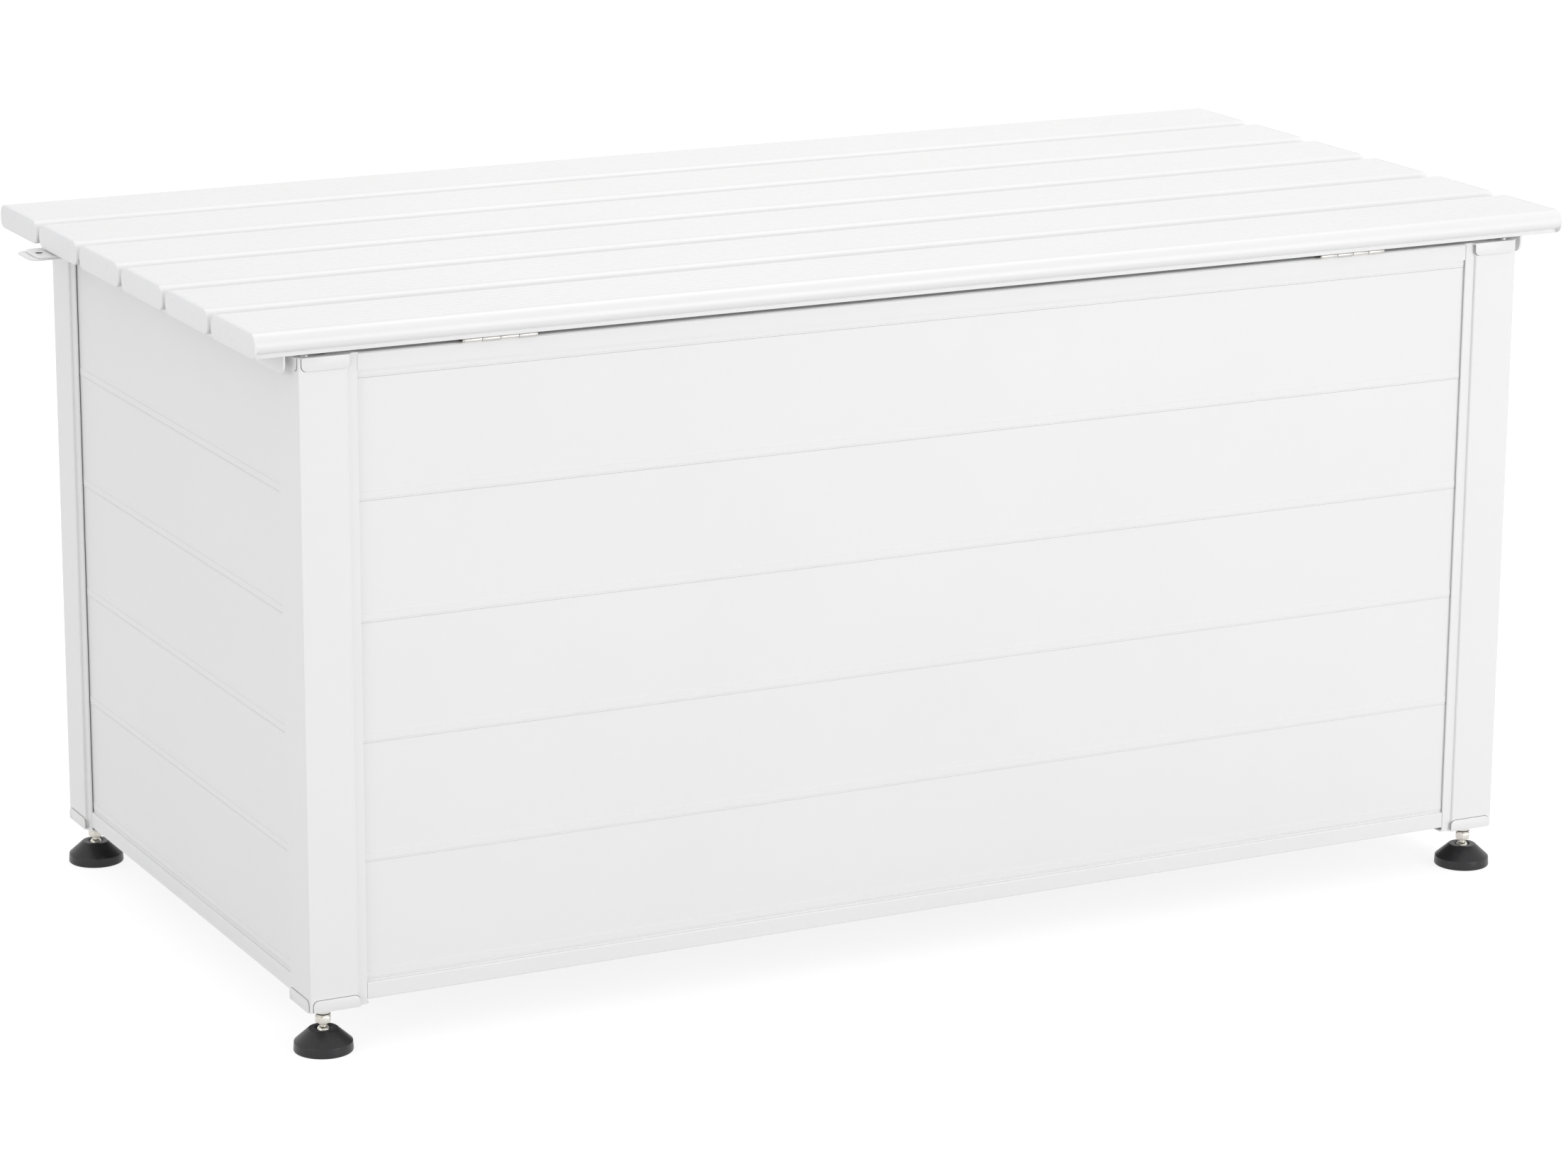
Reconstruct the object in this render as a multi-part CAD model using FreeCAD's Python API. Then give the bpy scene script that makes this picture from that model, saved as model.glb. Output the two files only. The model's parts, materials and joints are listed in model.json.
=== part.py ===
import FreeCAD
import Part
import math
import os

# Garden cushion box in white powder-coated aluminium: four corner posts, walls of
# interlocking beaded planks, a lid of six reeded slats on hinges, and four
# adjustable feet. Millimetres, +Z up, X along the length, -Y is the hinge side.
# The model is drawn about the middle of the posts and moved at the end, so that
# its origin is at the middle of its whole box, on the floor.

os.makedirs("parts", exist_ok=True)

# Overall sizes
lid_length = 1356.0
lid_top = 666.0
lid_end_overhang = 44.5
post_span_y = 647.0
hinge_side_overhang = 13.5
lid_gap = 4.4
ground_clearance = 42.8

# Lid slats
slat_count = 6
slat_width = 106.5
slat_gap = 8.3
slat_thickness = 22.5
slat_top_radius = 11.0
slat_bottom_radius = 6.5
slat_lip_height = 4.2
slat_lip_inset = 6.95
slat_wall = 1.6
slat_web_offset = 17.5
reed_count = 10
reed_pitch = 8.0
reed_width = 3.0
reed_depth = 0.6
end_cap_bottom_radius = 9.0
end_cap_thickness = 2.0
end_cap_peg_length = 8.0

# Lid battens
batten_inset = 20.0
batten_offset = 11.2
batten_leg = 45.0
batten_thickness = 2.0
batten_drop = 19.5
batten_corner_radius = 10.0
middle_batten_x = 222.0
middle_batten_width = 30.0
middle_batten_height = 15.0
middle_batten_wall = 1.5
middle_batten_end_gap = 33.0

# Posts and their caps
post_width = 46.0
post_wall = 2.0
post_corner_radius = 1.2
lip_width = 10.0
lip_step = 2.75
lip_thickness = 2.2
slot_front_gap = 1.1
inner_lip_thickness = 2.0
port_place = 9.5
port_block = 15.0
cap_thickness = 1.4
top_flange_height = 12.2
bottom_flange_height = 11.0
cap_flange_start = 2.9
cap_flange_radius = 5.0
cap_plate_overlap = 1.5

# Wall planks and rails
plank_count = 5
plank_thickness = 12.0
plank_wall = 1.5
tongue_width = 4.0
tongue_height = 5.0
bead_height = 6.2
bead_radius = 2.2
ridge_height = 1.1
ridge_proud = 1.8
ridge_gap = 0.8
rail_recess = 0.7
rail_wall = 2.0
rail_top_radius = 2.4
rail_inner_step = 2.0
top_rail_height = 23.1
top_rail_drop = 0.6
bottom_rail_lift = 4.2
bottom_rail_height = 17.7
shelf_width = 24.0
shelf_thickness = 2.0

# Floor inside the box
floor_thickness = 3.0
bearer_count = 4
bearer_width = 25.0
bearer_height = 12.0
bearer_wall = 1.5
bearer_end_inset = 70.0

# Hinges
hinge_x = 444.0
hinge_width = 70.0
knuckle_count = 4
leaf_thickness = 1.2
leaf_reach = 22.0
pin_radius = 1.1
pin_head_radius = 1.9
pin_head_length = 1.0
hinge_axis_reach = 0.3
hinge_screw_radius = 1.7
hinge_screw_count = 3
hinge_screw_inset = 9.0
hinge_screw_length = 8.0
flat_head_height = 0.9
flat_head_radius = 3.3

# Hasp on the left end
hasp_y = 209.1
hasp_width = 47.0
hasp_corner_radius = 10.0
hasp_hole_radius = 3.5
hasp_hole_to_tip = 15.7
hasp_reach_past_lid = 22.4
hasp_lid_plate_short = 7.5
hasp_root_inset = 22.0
hasp_rivet_spacing = 28.0
hasp_rivet_length = 4.0

# Screws
lid_screw_radius = 2.0
lid_screw_head_radius = 3.8
lid_screw_head_height = 2.0
lid_screw_length = 9.0
lid_screw_spread = 30.0
lid_screw_inset = 8.0
cap_screw_head_radius = 4.6
cap_screw_length = 14.0

# Feet
foot_inset = 19.4
pad_height = 21.1
pad_wall_height = 8.9
pad_radius = 27.2
pad_shoulder_radius = 26.6
pad_top_radius = 13.2
pad_edge_radius = 1.5
pad_mouth_radius = 8.3
pad_mouth_depth = 1.8
ball_radius = 6.5
ball_height = 17.5
stud_radius = 4.0
stud_length = 46.0
nut_across_flats = 13.0
nut_height = 6.3
washer_height = 2.6
washer_radius = 7.3
collar_height = 7.2
collar_radius = 6.9
insert_height = 16.0

# Clearances
slide_gap = 0.3
joint_gap = 0.3
run_gap = 0.05
press_gap = 0.02
hole_gap = 0.2

# Places that follow from the sizes
lid_half = lid_length / 2
span_x = lid_half - lid_end_overhang
span_y = post_span_y / 2
slat_pitch = slat_width + slat_gap
lid_depth = slat_count * slat_width + (slat_count - 1) * slat_gap
lid_near = -span_y - hinge_side_overhang
lid_far = lid_near + lid_depth
slat_bottom = lid_top - slat_thickness
cap_top = slat_bottom - lid_gap
post_top = cap_top - cap_thickness
post_bottom = ground_clearance + cap_thickness
lip_end = post_width + lip_width
lip_back = lip_step + lip_thickness
plank_face = lip_back + slot_front_gap
plank_back = plank_face + plank_thickness
inner_lip_face = plank_back + slide_gap
inner_lip_back = inner_lip_face + inner_lip_thickness
bead_proud = plank_face - lip_step
rail_proud = bead_proud - rail_recess
top_rail_top = cap_top - top_rail_drop
top_rail_bottom = top_rail_top - top_rail_height
bottom_rail_bottom = ground_clearance + bottom_rail_lift
bottom_rail_top = bottom_rail_bottom + bottom_rail_height
plank_pitch = (top_rail_bottom - bottom_rail_top) / plank_count
core_reach = post_width + slide_gap
face_reach = lip_end + slide_gap
hinge_axis_y = -span_y - hinge_axis_reach
hinge_axis_z = (top_rail_top + slat_bottom) / 2
knuckle_radius = slat_bottom - hinge_axis_z - slide_gap
batten_face = span_x + batten_offset
batten_near = lid_near + batten_inset
batten_far = lid_far - batten_inset
batten_under = slat_bottom - batten_thickness
hasp_tip = lid_half + hasp_reach_past_lid
hasp_hole_x = hasp_tip - hasp_hole_to_tip
hasp_inner_x = span_x - hasp_root_inset
hasp_split = (top_rail_top + batten_under) / 2
shelf_top = bottom_rail_bottom + shelf_thickness
floor_bottom = shelf_top + bearer_height
floor_top = floor_bottom + floor_thickness
origin_x = (lid_half - hasp_tip) / 2
origin_y = (lid_near + lid_far) / 2

corners = {
    "rear_left": (-1, -1),
    "rear_right": (1, -1),
    "front_left": (-1, 1),
    "front_right": (1, 1),
}


def point_yz(place):
    """Turn an outline point into one on the plane square to X."""
    return FreeCAD.Vector(0, place.x, place.y)


def point_xz(place):
    """Turn an outline point into one on the plane square to Y."""
    return FreeCAD.Vector(place.x, 0, place.y)


def point_xy(place):
    """Turn an outline point into one on the plane square to Z."""
    return FreeCAD.Vector(place.x, place.y, 0)


plane_points = {"x": point_yz, "y": point_xz, "z": point_xy}
axis_vectors = {
    "x": FreeCAD.Vector(1, 0, 0),
    "y": FreeCAD.Vector(0, 1, 0),
    "z": FreeCAD.Vector(0, 0, 1),
}


def corner_arc(before, here, after, radius):
    """Return the start, middle and end of the arc that rounds one corner."""
    back = (before - here).normalize()
    ahead = (after - here).normalize()
    half = back.getAngle(ahead) / 2
    reach = radius / math.tan(half)
    inward = (back + ahead).normalize()
    middle = here + inward * (radius / math.sin(half) - radius)
    return here + back * reach, middle, here + ahead * reach


def rounded_wire(outline, axis):
    """Join (u, v, radius) corners into a closed wire square to an axis."""
    to_space = plane_points[axis]
    places = [FreeCAD.Vector(u, v, 0) for u, v, radius in outline]
    bends = []
    for number, (u, v, radius) in enumerate(outline):
        here = places[number]
        after = places[(number + 1) % len(places)]
        if radius > 0:
            bends.append(corner_arc(places[number - 1], here, after, radius))
        else:
            bends.append((here, None, here))
    edges = []
    for number, (start, middle, end) in enumerate(bends):
        if middle is not None:
            arc = Part.Arc(to_space(start), to_space(middle), to_space(end))
            edges.append(arc.toShape())
        following = bends[(number + 1) % len(bends)][0]
        if (following - end).Length > 0.0001:
            edges.append(Part.LineSegment(to_space(end), to_space(following)).toShape())
    return Part.Wire(edges)


def extrusion(outline, axis, start, end, chambers=()):
    """Extrude an outline along an axis, with hollow chambers right through."""
    along = axis_vectors[axis]
    face = Part.Face(rounded_wire(outline, axis))
    solid = face.extrude(along * (end - start))
    for chamber in chambers:
        hollow = Part.Face(rounded_wire(chamber, axis))
        solid = solid.cut(hollow.extrude(along * (end - start)))
    solid.translate(along * start)
    return solid


def rectangle(u0, u1, v0, v1, radius=0.0):
    """Return the corners of a rectangle with one radius."""
    return [(u0, v0, radius), (u1, v0, radius), (u1, v1, radius), (u0, v1, radius)]


def block(x0, x1, y0, y1, z0, z1):
    """Return a plain block between two corners."""
    return Part.makeBox(x1 - x0, y1 - y0, z1 - z0, FreeCAD.Vector(x0, y0, z0))


def rod(radius, start, end, axis="z"):
    """Return a cylinder from a start point, as long as end - start."""
    along = axis_vectors[axis]
    return Part.makeCylinder(radius, end, start, along)


def upright(x, y, z0, z1, radius):
    """Return a vertical cylinder between two heights."""
    return rod(radius, FreeCAD.Vector(x, y, z0), z1 - z0)


def fused(pieces):
    """Join touching pieces into one solid."""
    whole = pieces[0]
    for piece in pieces[1:]:
        whole = whole.fuse(piece)
    return whole.removeSplitter()


def export(name, pieces):
    """Move the pieces to the model's origin and write them as one node."""
    shape = pieces[0] if len(pieces) == 1 else Part.makeCompound(pieces)
    placed = shape.copy()
    placed.translate(FreeCAD.Vector(-origin_x, -origin_y, 0))
    placed.exportStep("parts/" + name + ".step")


def at_corner(shape, side_x, side_y):
    """Move a piece drawn inward from a corner at the origin to one of the posts."""
    placed = shape.copy()
    if side_x > 0:
        placed = placed.mirror(FreeCAD.Vector(0, 0, 0), axis_vectors["x"])
    if side_y > 0:
        placed = placed.mirror(FreeCAD.Vector(0, 0, 0), axis_vectors["y"])
    placed.translate(FreeCAD.Vector(side_x * span_x, side_y * span_y, 0))
    return placed


def post_chamber(gap):
    """Return the outline of a post's hollow, which leaves a screw port solid."""
    low = post_wall + gap
    high = post_width - post_wall - gap
    port = port_block + gap
    return [
        (port, low, 0.5),
        (high, low, 0.5),
        (high, high, 0.5),
        (low, high, 0.5),
        (low, port, 0.5),
        (port, port, 0.5),
    ]


def post():
    """Make one corner post, a square tube with slotted lips for the planks."""
    quarter = [
        (post_width, lip_step, 0),
        (lip_end, lip_step, 0.8),
        (lip_end, lip_back, 0.8),
        (post_width, lip_back, 0),
        (post_width, inner_lip_face, 0),
        (lip_end, inner_lip_face, 0.5),
        (lip_end, inner_lip_back, 0.5),
        (post_width, inner_lip_back, 0),
    ]
    mirrored = [(v, u, radius) for u, v, radius in reversed(quarter)]
    outline = [(0, 0, post_corner_radius), (post_width, 0, post_corner_radius)]
    outline += quarter + [(post_width, post_width, post_corner_radius)]
    outline += mirrored + [(0, post_width, post_corner_radius)]
    port = upright(port_place, port_place, post_bottom, post_top, lid_screw_radius + run_gap)
    chambers = [post_chamber(0)]
    return extrusion(outline, "z", post_bottom, post_top, chambers).cut(port)


def cap_flange(outer_z, root_z):
    """Make one cap flange on the face along X, rounded at its free corners."""
    start = cap_flange_start
    end = post_width + cap_thickness
    outline = [
        (start, root_z, 0),
        (end, root_z, 0),
        (end, outer_z, cap_flange_radius),
        (start, outer_z, cap_flange_radius),
    ]
    return extrusion(outline, "y", -cap_thickness, 0)


def swapped(shape):
    """Mirror a piece over the post's diagonal, which swaps X and Y."""
    return shape.mirror(FreeCAD.Vector(0, 0, 0), FreeCAD.Vector(1, -1, 0))


def cap(plate_bottom, outer_z, root_z):
    """Make one post cap, a plate with a flange on each outer face."""
    reach = lip_end + cap_plate_overlap
    edge = post_width + cap_thickness
    outline = [
        (cap_flange_start, -cap_thickness, 0),
        (edge, -cap_thickness, cap_thickness),
        (edge + lip_step, lip_step, lip_step),
        (reach, lip_step, 2.0),
        (reach, inner_lip_back, 0),
        (post_width, inner_lip_back, 0),
        (post_width, post_width, 0),
        (inner_lip_back, post_width, 0),
        (inner_lip_back, reach, 0),
        (lip_step, reach, 2.0),
        (lip_step, edge + lip_step, lip_step),
        (-cap_thickness, edge, cap_thickness),
        (-cap_thickness, cap_flange_start, 0),
        (0, cap_flange_start, 0),
        (0, 0, post_corner_radius),
        (cap_flange_start, 0, 0),
    ]
    plate = extrusion(outline, "z", plate_bottom, plate_bottom + cap_thickness)
    flange = cap_flange(outer_z, root_z)
    return fused([plate, flange, swapped(flange)])


def top_cap():
    """Make the cap on top of a post, with its screw hole."""
    shape = cap(post_top, cap_top - top_flange_height, cap_top)
    radius = lid_screw_radius + hole_gap
    return shape.cut(upright(port_place, port_place, post_top, cap_top, radius))


def bottom_cap():
    """Make the cap under a post, with the hole for the foot's insert."""
    shape = cap(ground_clearance, ground_clearance + bottom_flange_height, ground_clearance)
    radius = stud_radius + post_wall + hole_gap
    return shape.cut(upright(foot_inset, foot_inset, ground_clearance, post_bottom, radius))


def bead(bottom):
    """Return outlines of the bead and the fine ridge that stand on a plank's foot."""
    face = -plank_face
    low = bottom + ridge_height + ridge_gap
    proud = face - bead_proud
    rounded = [
        (face + 0.5, low, 0),
        (face + 0.5, low + bead_height, 0),
        (proud, low + bead_height, bead_radius),
        (proud, low, bead_radius),
    ]
    fine = ridge_height / 3
    ridge = [
        (face + 0.5, bottom, 0),
        (face + 0.5, bottom + ridge_height, 0),
        (face - ridge_proud, bottom + ridge_height, fine),
        (face - ridge_proud, bottom, fine),
    ]
    return [rounded, ridge]


def core_outline(bottom, top, has_tongue):
    """Return the outline of a plank's or rail's core, with its groove and tongue."""
    front = -plank_face
    back = -plank_back
    middle = (front + back) / 2
    groove = tongue_width / 2 + slide_gap
    depth = tongue_height + slide_gap
    tongue = tongue_width / 2
    outline = [
        (front, bottom, 0.4),
        (middle + groove, bottom, 0),
        (middle + groove, bottom + depth, 0),
        (middle - groove, bottom + depth, 0),
        (middle - groove, bottom, 0),
        (back, bottom, 0.4),
        (back, top, 0.4),
    ]
    if has_tongue:
        outline += [
            (middle - tongue, top, 0),
            (middle - tongue, top + tongue_height, 0.5),
            (middle + tongue, top + tongue_height, 0.5),
            (middle + tongue, top, 0),
        ]
    outline.append((front, top, 0.4))
    return outline


def outward(outline):
    """Turn an outline drawn with depth counted down from zero into depth inward."""
    return [(-u, v, radius) for u, v, radius in outline]


def run_along(outline, half, reach, chambers=()):
    """Extrude an outline along X between two posts, stopping short by reach."""
    return extrusion(outward(outline), "x", -half + reach, half - reach, chambers)


def plank(half, number):
    """Make one wall plank along X, its face at the plane of depth plank_face."""
    bottom = bottom_rail_top + number * plank_pitch + joint_gap / 2
    top = bottom + plank_pitch - joint_gap
    middle_web = (bottom + top) / 2
    inner_front = plank_face + plank_wall
    inner_back = plank_back - plank_wall
    low = bottom + tongue_height + slide_gap + plank_wall
    spans = [(low, middle_web - plank_wall / 2), (middle_web + plank_wall / 2, top - plank_wall)]
    chambers = [rectangle(inner_front, inner_back, v0, v1) for v0, v1 in spans]
    core = run_along(core_outline(bottom, top, True), half, core_reach, chambers)
    beads = [run_along(outline, half, face_reach) for outline in bead(bottom)]
    return fused([core] + beads)


def top_rail(half):
    """Make one top rail along X, with the bead that the planks carry too."""
    bottom = top_rail_bottom + joint_gap / 2
    top = top_rail_top
    low = bottom + tongue_height + slide_gap + rail_wall
    inner = rectangle(plank_face + rail_wall, plank_back - rail_wall, low, top - rail_wall)
    core = run_along(core_outline(bottom, top, False), half, core_reach, [inner])
    face_low = bottom + ridge_height + ridge_gap + bead_height
    face = [
        (-plank_face, face_low - 1.0, 0),
        (-plank_face + rail_proud, face_low - 1.0, 0),
        (-plank_face + rail_proud, top, rail_top_radius),
        (-plank_face, top, 0),
    ]
    step = rectangle(-plank_back - rail_inner_step, -plank_back, top - rail_wall, top, 0)
    extras = [run_along(outline, half, face_reach) for outline in bead(bottom)]
    extras.append(run_along(face, half, face_reach))
    extras.append(run_along(step, half, face_reach))
    rail = fused([core] + extras)
    cap_end = half - lip_end - cap_plate_overlap - slide_gap
    for x0, x1 in ((-half, -cap_end), (cap_end, half)):
        rail = rail.cut(block(x0, x1, 0, post_width, post_top, top))
    return rail


def bottom_rail(half):
    """Make one bottom rail along X, with the shelf that carries the floor."""
    bottom = bottom_rail_bottom
    top = bottom_rail_top - joint_gap / 2
    front = -plank_face
    back = -plank_back
    middle = (front + back) / 2
    tongue = tongue_width / 2
    outline = [
        (front, bottom, 0),
        (back, bottom, 0),
        (back, top, 0.4),
        (middle - tongue, top, 0),
        (middle - tongue, top + tongue_height, 0.5),
        (middle + tongue, top + tongue_height, 0.5),
        (middle + tongue, top, 0),
        (front, top, 0.4),
    ]
    inner = rectangle(
        plank_face + rail_wall, plank_back - rail_wall, bottom + rail_wall, top - rail_wall
    )
    core = run_along(outline, half, core_reach, [inner])
    face = [
        (front, bottom, 0),
        (front + rail_proud, bottom, 0.8),
        (front + rail_proud, top - ridge_height - ridge_gap, 1.2),
        (front, top - ridge_height - ridge_gap, 0),
    ]
    shelf = rectangle(back - shelf_width, back, bottom, bottom + shelf_thickness)
    extras = [run_along(face, half, face_reach), run_along(shelf, half, face_reach)]
    return fused([core] + extras)


def on_side(shape, side):
    """Move a piece drawn for the hinge side to one of the four sides."""
    placed = shape.copy()
    if side == "rear":
        placed.translate(FreeCAD.Vector(0, -span_y, 0))
    elif side == "front":
        placed = placed.mirror(FreeCAD.Vector(0, 0, 0), axis_vectors["y"])
        placed.translate(FreeCAD.Vector(0, span_y, 0))
    else:
        placed.rotate(FreeCAD.Vector(0, 0, 0), axis_vectors["z"], -90)
        placed.translate(FreeCAD.Vector(-span_x, 0, 0))
        if side == "right":
            placed = placed.mirror(FreeCAD.Vector(0, 0, 0), axis_vectors["x"])
    return placed


def slat_outline():
    """Return a slat's outline: round sides, a lip along each foot, a reeded top."""
    half = slat_width / 2
    lip = half - slat_lip_inset
    ledge = -slat_thickness + slat_lip_height
    outline = [
        (-lip, -slat_thickness, 0.5),
        (lip, -slat_thickness, 0.5),
        (lip, ledge, 0),
        (half, ledge, slat_bottom_radius),
        (half, 0, slat_top_radius),
    ]
    for number in reversed(range(reed_count)):
        middle = (number - (reed_count - 1) / 2) * reed_pitch
        outline += [
            (middle + reed_width / 2, 0, 0),
            (middle, -reed_depth, 0.6),
            (middle - reed_width / 2, 0, 0),
        ]
    outline += [(-half, 0, slat_top_radius), (-half, ledge, slat_bottom_radius), (-lip, ledge, 0)]
    return outline


def end_cap_outline():
    """Return an end cap's outline, a slat's without its reeds and lips."""
    half = slat_width / 2
    return [
        (-half, -slat_thickness, end_cap_bottom_radius),
        (half, -slat_thickness, end_cap_bottom_radius),
        (half, 0, slat_top_radius),
        (-half, 0, slat_top_radius),
    ]


def slat_chambers(gap):
    """Return the outlines of a slat's two side chambers and its middle one."""
    outer = slat_width / 2 - slat_wall - gap
    lip = slat_width / 2 - slat_lip_inset - slat_wall - gap
    inner = slat_web_offset + slat_wall / 2 + gap
    low = -slat_thickness + slat_wall + gap
    ledge = low + slat_lip_height
    high = -slat_wall - reed_depth - gap
    round_low = slat_bottom_radius - slat_wall
    round_high = slat_top_radius - slat_wall - reed_depth
    right = [
        (inner, low, 0.5),
        (lip, low, 0.5),
        (lip, ledge, 0),
        (outer, ledge, round_low),
        (outer, high, round_high),
        (inner, high, 0.5),
    ]
    left = [(-u, v, radius) for u, v, radius in reversed(right)]
    core = slat_web_offset - slat_wall / 2
    return [left, rectangle(-core, core, low, high, 0.5), right]


def slat_centre(number):
    """Return the middle of one slat across the lid, counted from the hinge side."""
    return lid_near + slat_width / 2 + number * slat_pitch


def batten_screw_places():
    """Return where screws come up through the battens, as (x, y) pairs."""
    columns = [batten_face - batten_leg + lid_screw_inset, middle_batten_x]
    places = []
    for number in range(slat_count):
        for offset in (-lid_screw_spread, lid_screw_spread):
            y = slat_centre(number) + offset
            if abs(y - (batten_near + batten_far) / 2) < (batten_far - batten_near) / 2:
                places += [(side * x, y) for x in columns for side in (-1, 1)]
    return [place for place in places if screw_reaches(place)]


def screw_reaches(place):
    """Say whether a screw place lies on its batten, which may be a short one."""
    x, y = place
    if abs(x) > middle_batten_x + middle_batten_width:
        return True
    ends = span_y - middle_batten_end_gap - lid_screw_head_radius
    return abs(y) < ends


def with_screw_holes(shape, radius, low, high):
    """Drill the lid's screw holes through a piece between two heights."""
    box = shape.BoundBox
    tools = []
    for x, y in batten_screw_places():
        if box.XMin < x < box.XMax and box.YMin < y < box.YMax:
            tools.append(upright(x, y, low, high, radius))
    return shape.cut(Part.makeCompound(tools)) if tools else shape


def slat(number):
    """Make one hollow reeded slat."""
    end = lid_half - end_cap_thickness
    shape = extrusion(slat_outline(), "x", -end, end, slat_chambers(0))
    shape.translate(FreeCAD.Vector(0, slat_centre(number), lid_top))
    high = slat_bottom + 2 * slat_wall
    if number == 0:
        for x, y in hinge_screws():
            shape = shape.cut(upright(x, y, slat_bottom, high, hinge_screw_radius + run_gap))
    return with_screw_holes(shape, lid_screw_radius + run_gap, slat_bottom, high)


def slat_end_cap(number, side):
    """Make one slat end cap, a plate with pegs that sit in the side chambers."""
    end = lid_half - end_cap_thickness
    plate = extrusion(end_cap_outline(), "x", end, lid_half)
    chambers = slat_chambers(slide_gap)
    pegs = [
        extrusion(outline, "x", end - end_cap_peg_length, end)
        for outline in (chambers[0], chambers[2])
    ]
    shape = fused([plate] + pegs)
    if side < 0:
        shape = shape.mirror(FreeCAD.Vector(0, 0, 0), axis_vectors["x"])
    shape.translate(FreeCAD.Vector(0, slat_centre(number), lid_top))
    return shape


def end_batten(side):
    """Make one end batten, an angle whose flange hangs outside the box's end."""
    bottom = slat_bottom - batten_drop
    flange = extrusion(
        [
            (batten_near, slat_bottom, 0),
            (batten_near, bottom, batten_corner_radius),
            (batten_far, bottom, batten_corner_radius),
            (batten_far, slat_bottom, 0),
        ],
        "x",
        batten_face - batten_thickness,
        batten_face,
    )
    leg = block(
        batten_face - batten_leg, batten_face, batten_near, batten_far, batten_under, slat_bottom
    )
    shape = fused([flange, leg])
    if side < 0:
        shape = shape.mirror(FreeCAD.Vector(0, 0, 0), axis_vectors["x"])
        half = hasp_width / 2 + batten_thickness
        notch = block(-batten_face, -span_x, hasp_y - half, hasp_y + half, bottom, batten_under)
        shape = shape.cut(notch)
        for x, y in hasp_rivets():
            shape = shape.cut(upright(x, y, batten_under, slat_bottom, hinge_screw_radius + run_gap))
    return with_screw_holes(shape, lid_screw_radius + hole_gap, batten_under, slat_bottom)


def middle_batten(side):
    """Make one inner batten, a channel with its open side down."""
    half = middle_batten_width / 2
    low = slat_bottom - middle_batten_height
    wall = middle_batten_wall
    x = side * middle_batten_x
    outline = [
        (x - half, low, 0.5),
        (x - half + wall, low, 0.5),
        (x - half + wall, slat_bottom - wall, 0.5),
        (x + half - wall, slat_bottom - wall, 0.5),
        (x + half - wall, low, 0.5),
        (x + half, low, 0.5),
        (x + half, slat_bottom, 1.0),
        (x - half, slat_bottom, 1.0),
    ]
    end = span_y - middle_batten_end_gap
    shape = extrusion(outline, "y", -end, end)
    return with_screw_holes(shape, lid_screw_radius + hole_gap, slat_bottom - wall, slat_bottom)


def screw_up(x, y, face, radius, head_radius, head_height, length):
    """Make a screw that goes up from a face, with its domed head below."""
    rounding = head_height * 0.45
    head = upright(x, y, face - head_height, face, head_radius)
    low_edges = [edge for edge in head.Edges if edge.BoundBox.ZMax < face - head_height + 0.01]
    head = head.makeFillet(rounding, low_edges)
    return fused([head, upright(x, y, face, face + length, radius)])


def screw_down(x, y, face, radius, head_radius, head_height, length):
    """Make a screw that goes down from a face, with its domed head above."""
    shape = screw_up(x, y, -face, radius, head_radius, head_height, length)
    return shape.mirror(FreeCAD.Vector(0, 0, 0), axis_vectors["z"])


def hinge_screws():
    """Return where the screws of one leaf stand, as (x, y) pairs."""
    step = (hinge_width - 2 * hinge_screw_inset) / (hinge_screw_count - 1)
    y = hinge_axis_y + leaf_reach - hinge_screw_inset
    places = []
    for side in (-1, 1):
        start = side * hinge_x - hinge_width / 2 + hinge_screw_inset
        places += [(start + number * step, y) for number in range(hinge_screw_count)]
    return places


def hinge_leaf(side, on_lid):
    """Make one hinge leaf with its knuckles, for the lid or for the rail."""
    start = side * hinge_x - hinge_width / 2
    knuckle = hinge_width / knuckle_count
    own = 1 if on_lid else 0
    bore = pin_radius + (run_gap if on_lid else press_gap)
    plate_low = slat_bottom - leaf_thickness if on_lid else top_rail_top
    plate = block(
        start,
        start + hinge_width,
        hinge_axis_y,
        hinge_axis_y + leaf_reach,
        plate_low,
        plate_low + leaf_thickness,
    )
    for x, y in hinge_screws():
        hole = upright(x, y, plate_low, plate_low + leaf_thickness, hinge_screw_radius + hole_gap)
        plate = plate.cut(hole)
    centre_z = hinge_axis_z
    pieces = [plate]
    for number in range(knuckle_count):
        low = start + number * knuckle
        place = FreeCAD.Vector(low + joint_gap / 2, hinge_axis_y, centre_z)
        if number % 2 == own:
            pieces.append(rod(knuckle_radius, place, knuckle - joint_gap, "x"))
    shape = fused(pieces)
    for number in range(knuckle_count):
        if number % 2 != own:
            place = FreeCAD.Vector(start + number * knuckle - joint_gap / 2, hinge_axis_y, centre_z)
            shape = shape.cut(rod(knuckle_radius + joint_gap, place, knuckle + joint_gap, "x"))
    through = FreeCAD.Vector(start - 1, hinge_axis_y, centre_z)
    return shape.cut(rod(bore, through, hinge_width + 2, "x"))


def hinge_pin(side):
    """Make one hinge pin with a small head at each end."""
    start = side * hinge_x - hinge_width / 2
    low = FreeCAD.Vector(start, hinge_axis_y, hinge_axis_z)
    shaft = rod(pin_radius, low, hinge_width, "x")
    left = rod(pin_head_radius, low - axis_vectors["x"] * pin_head_length, pin_head_length, "x")
    right = rod(pin_head_radius, low + axis_vectors["x"] * hinge_width, pin_head_length, "x")
    return fused([shaft, left, right])


def hasp_rivets():
    """Return where the hasp plates are riveted, as (x, y) pairs."""
    x = -hasp_inner_x - flat_head_radius - leaf_thickness
    return [(x, hasp_y + side * hasp_rivet_spacing / 2) for side in (-1, 1)]


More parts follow.
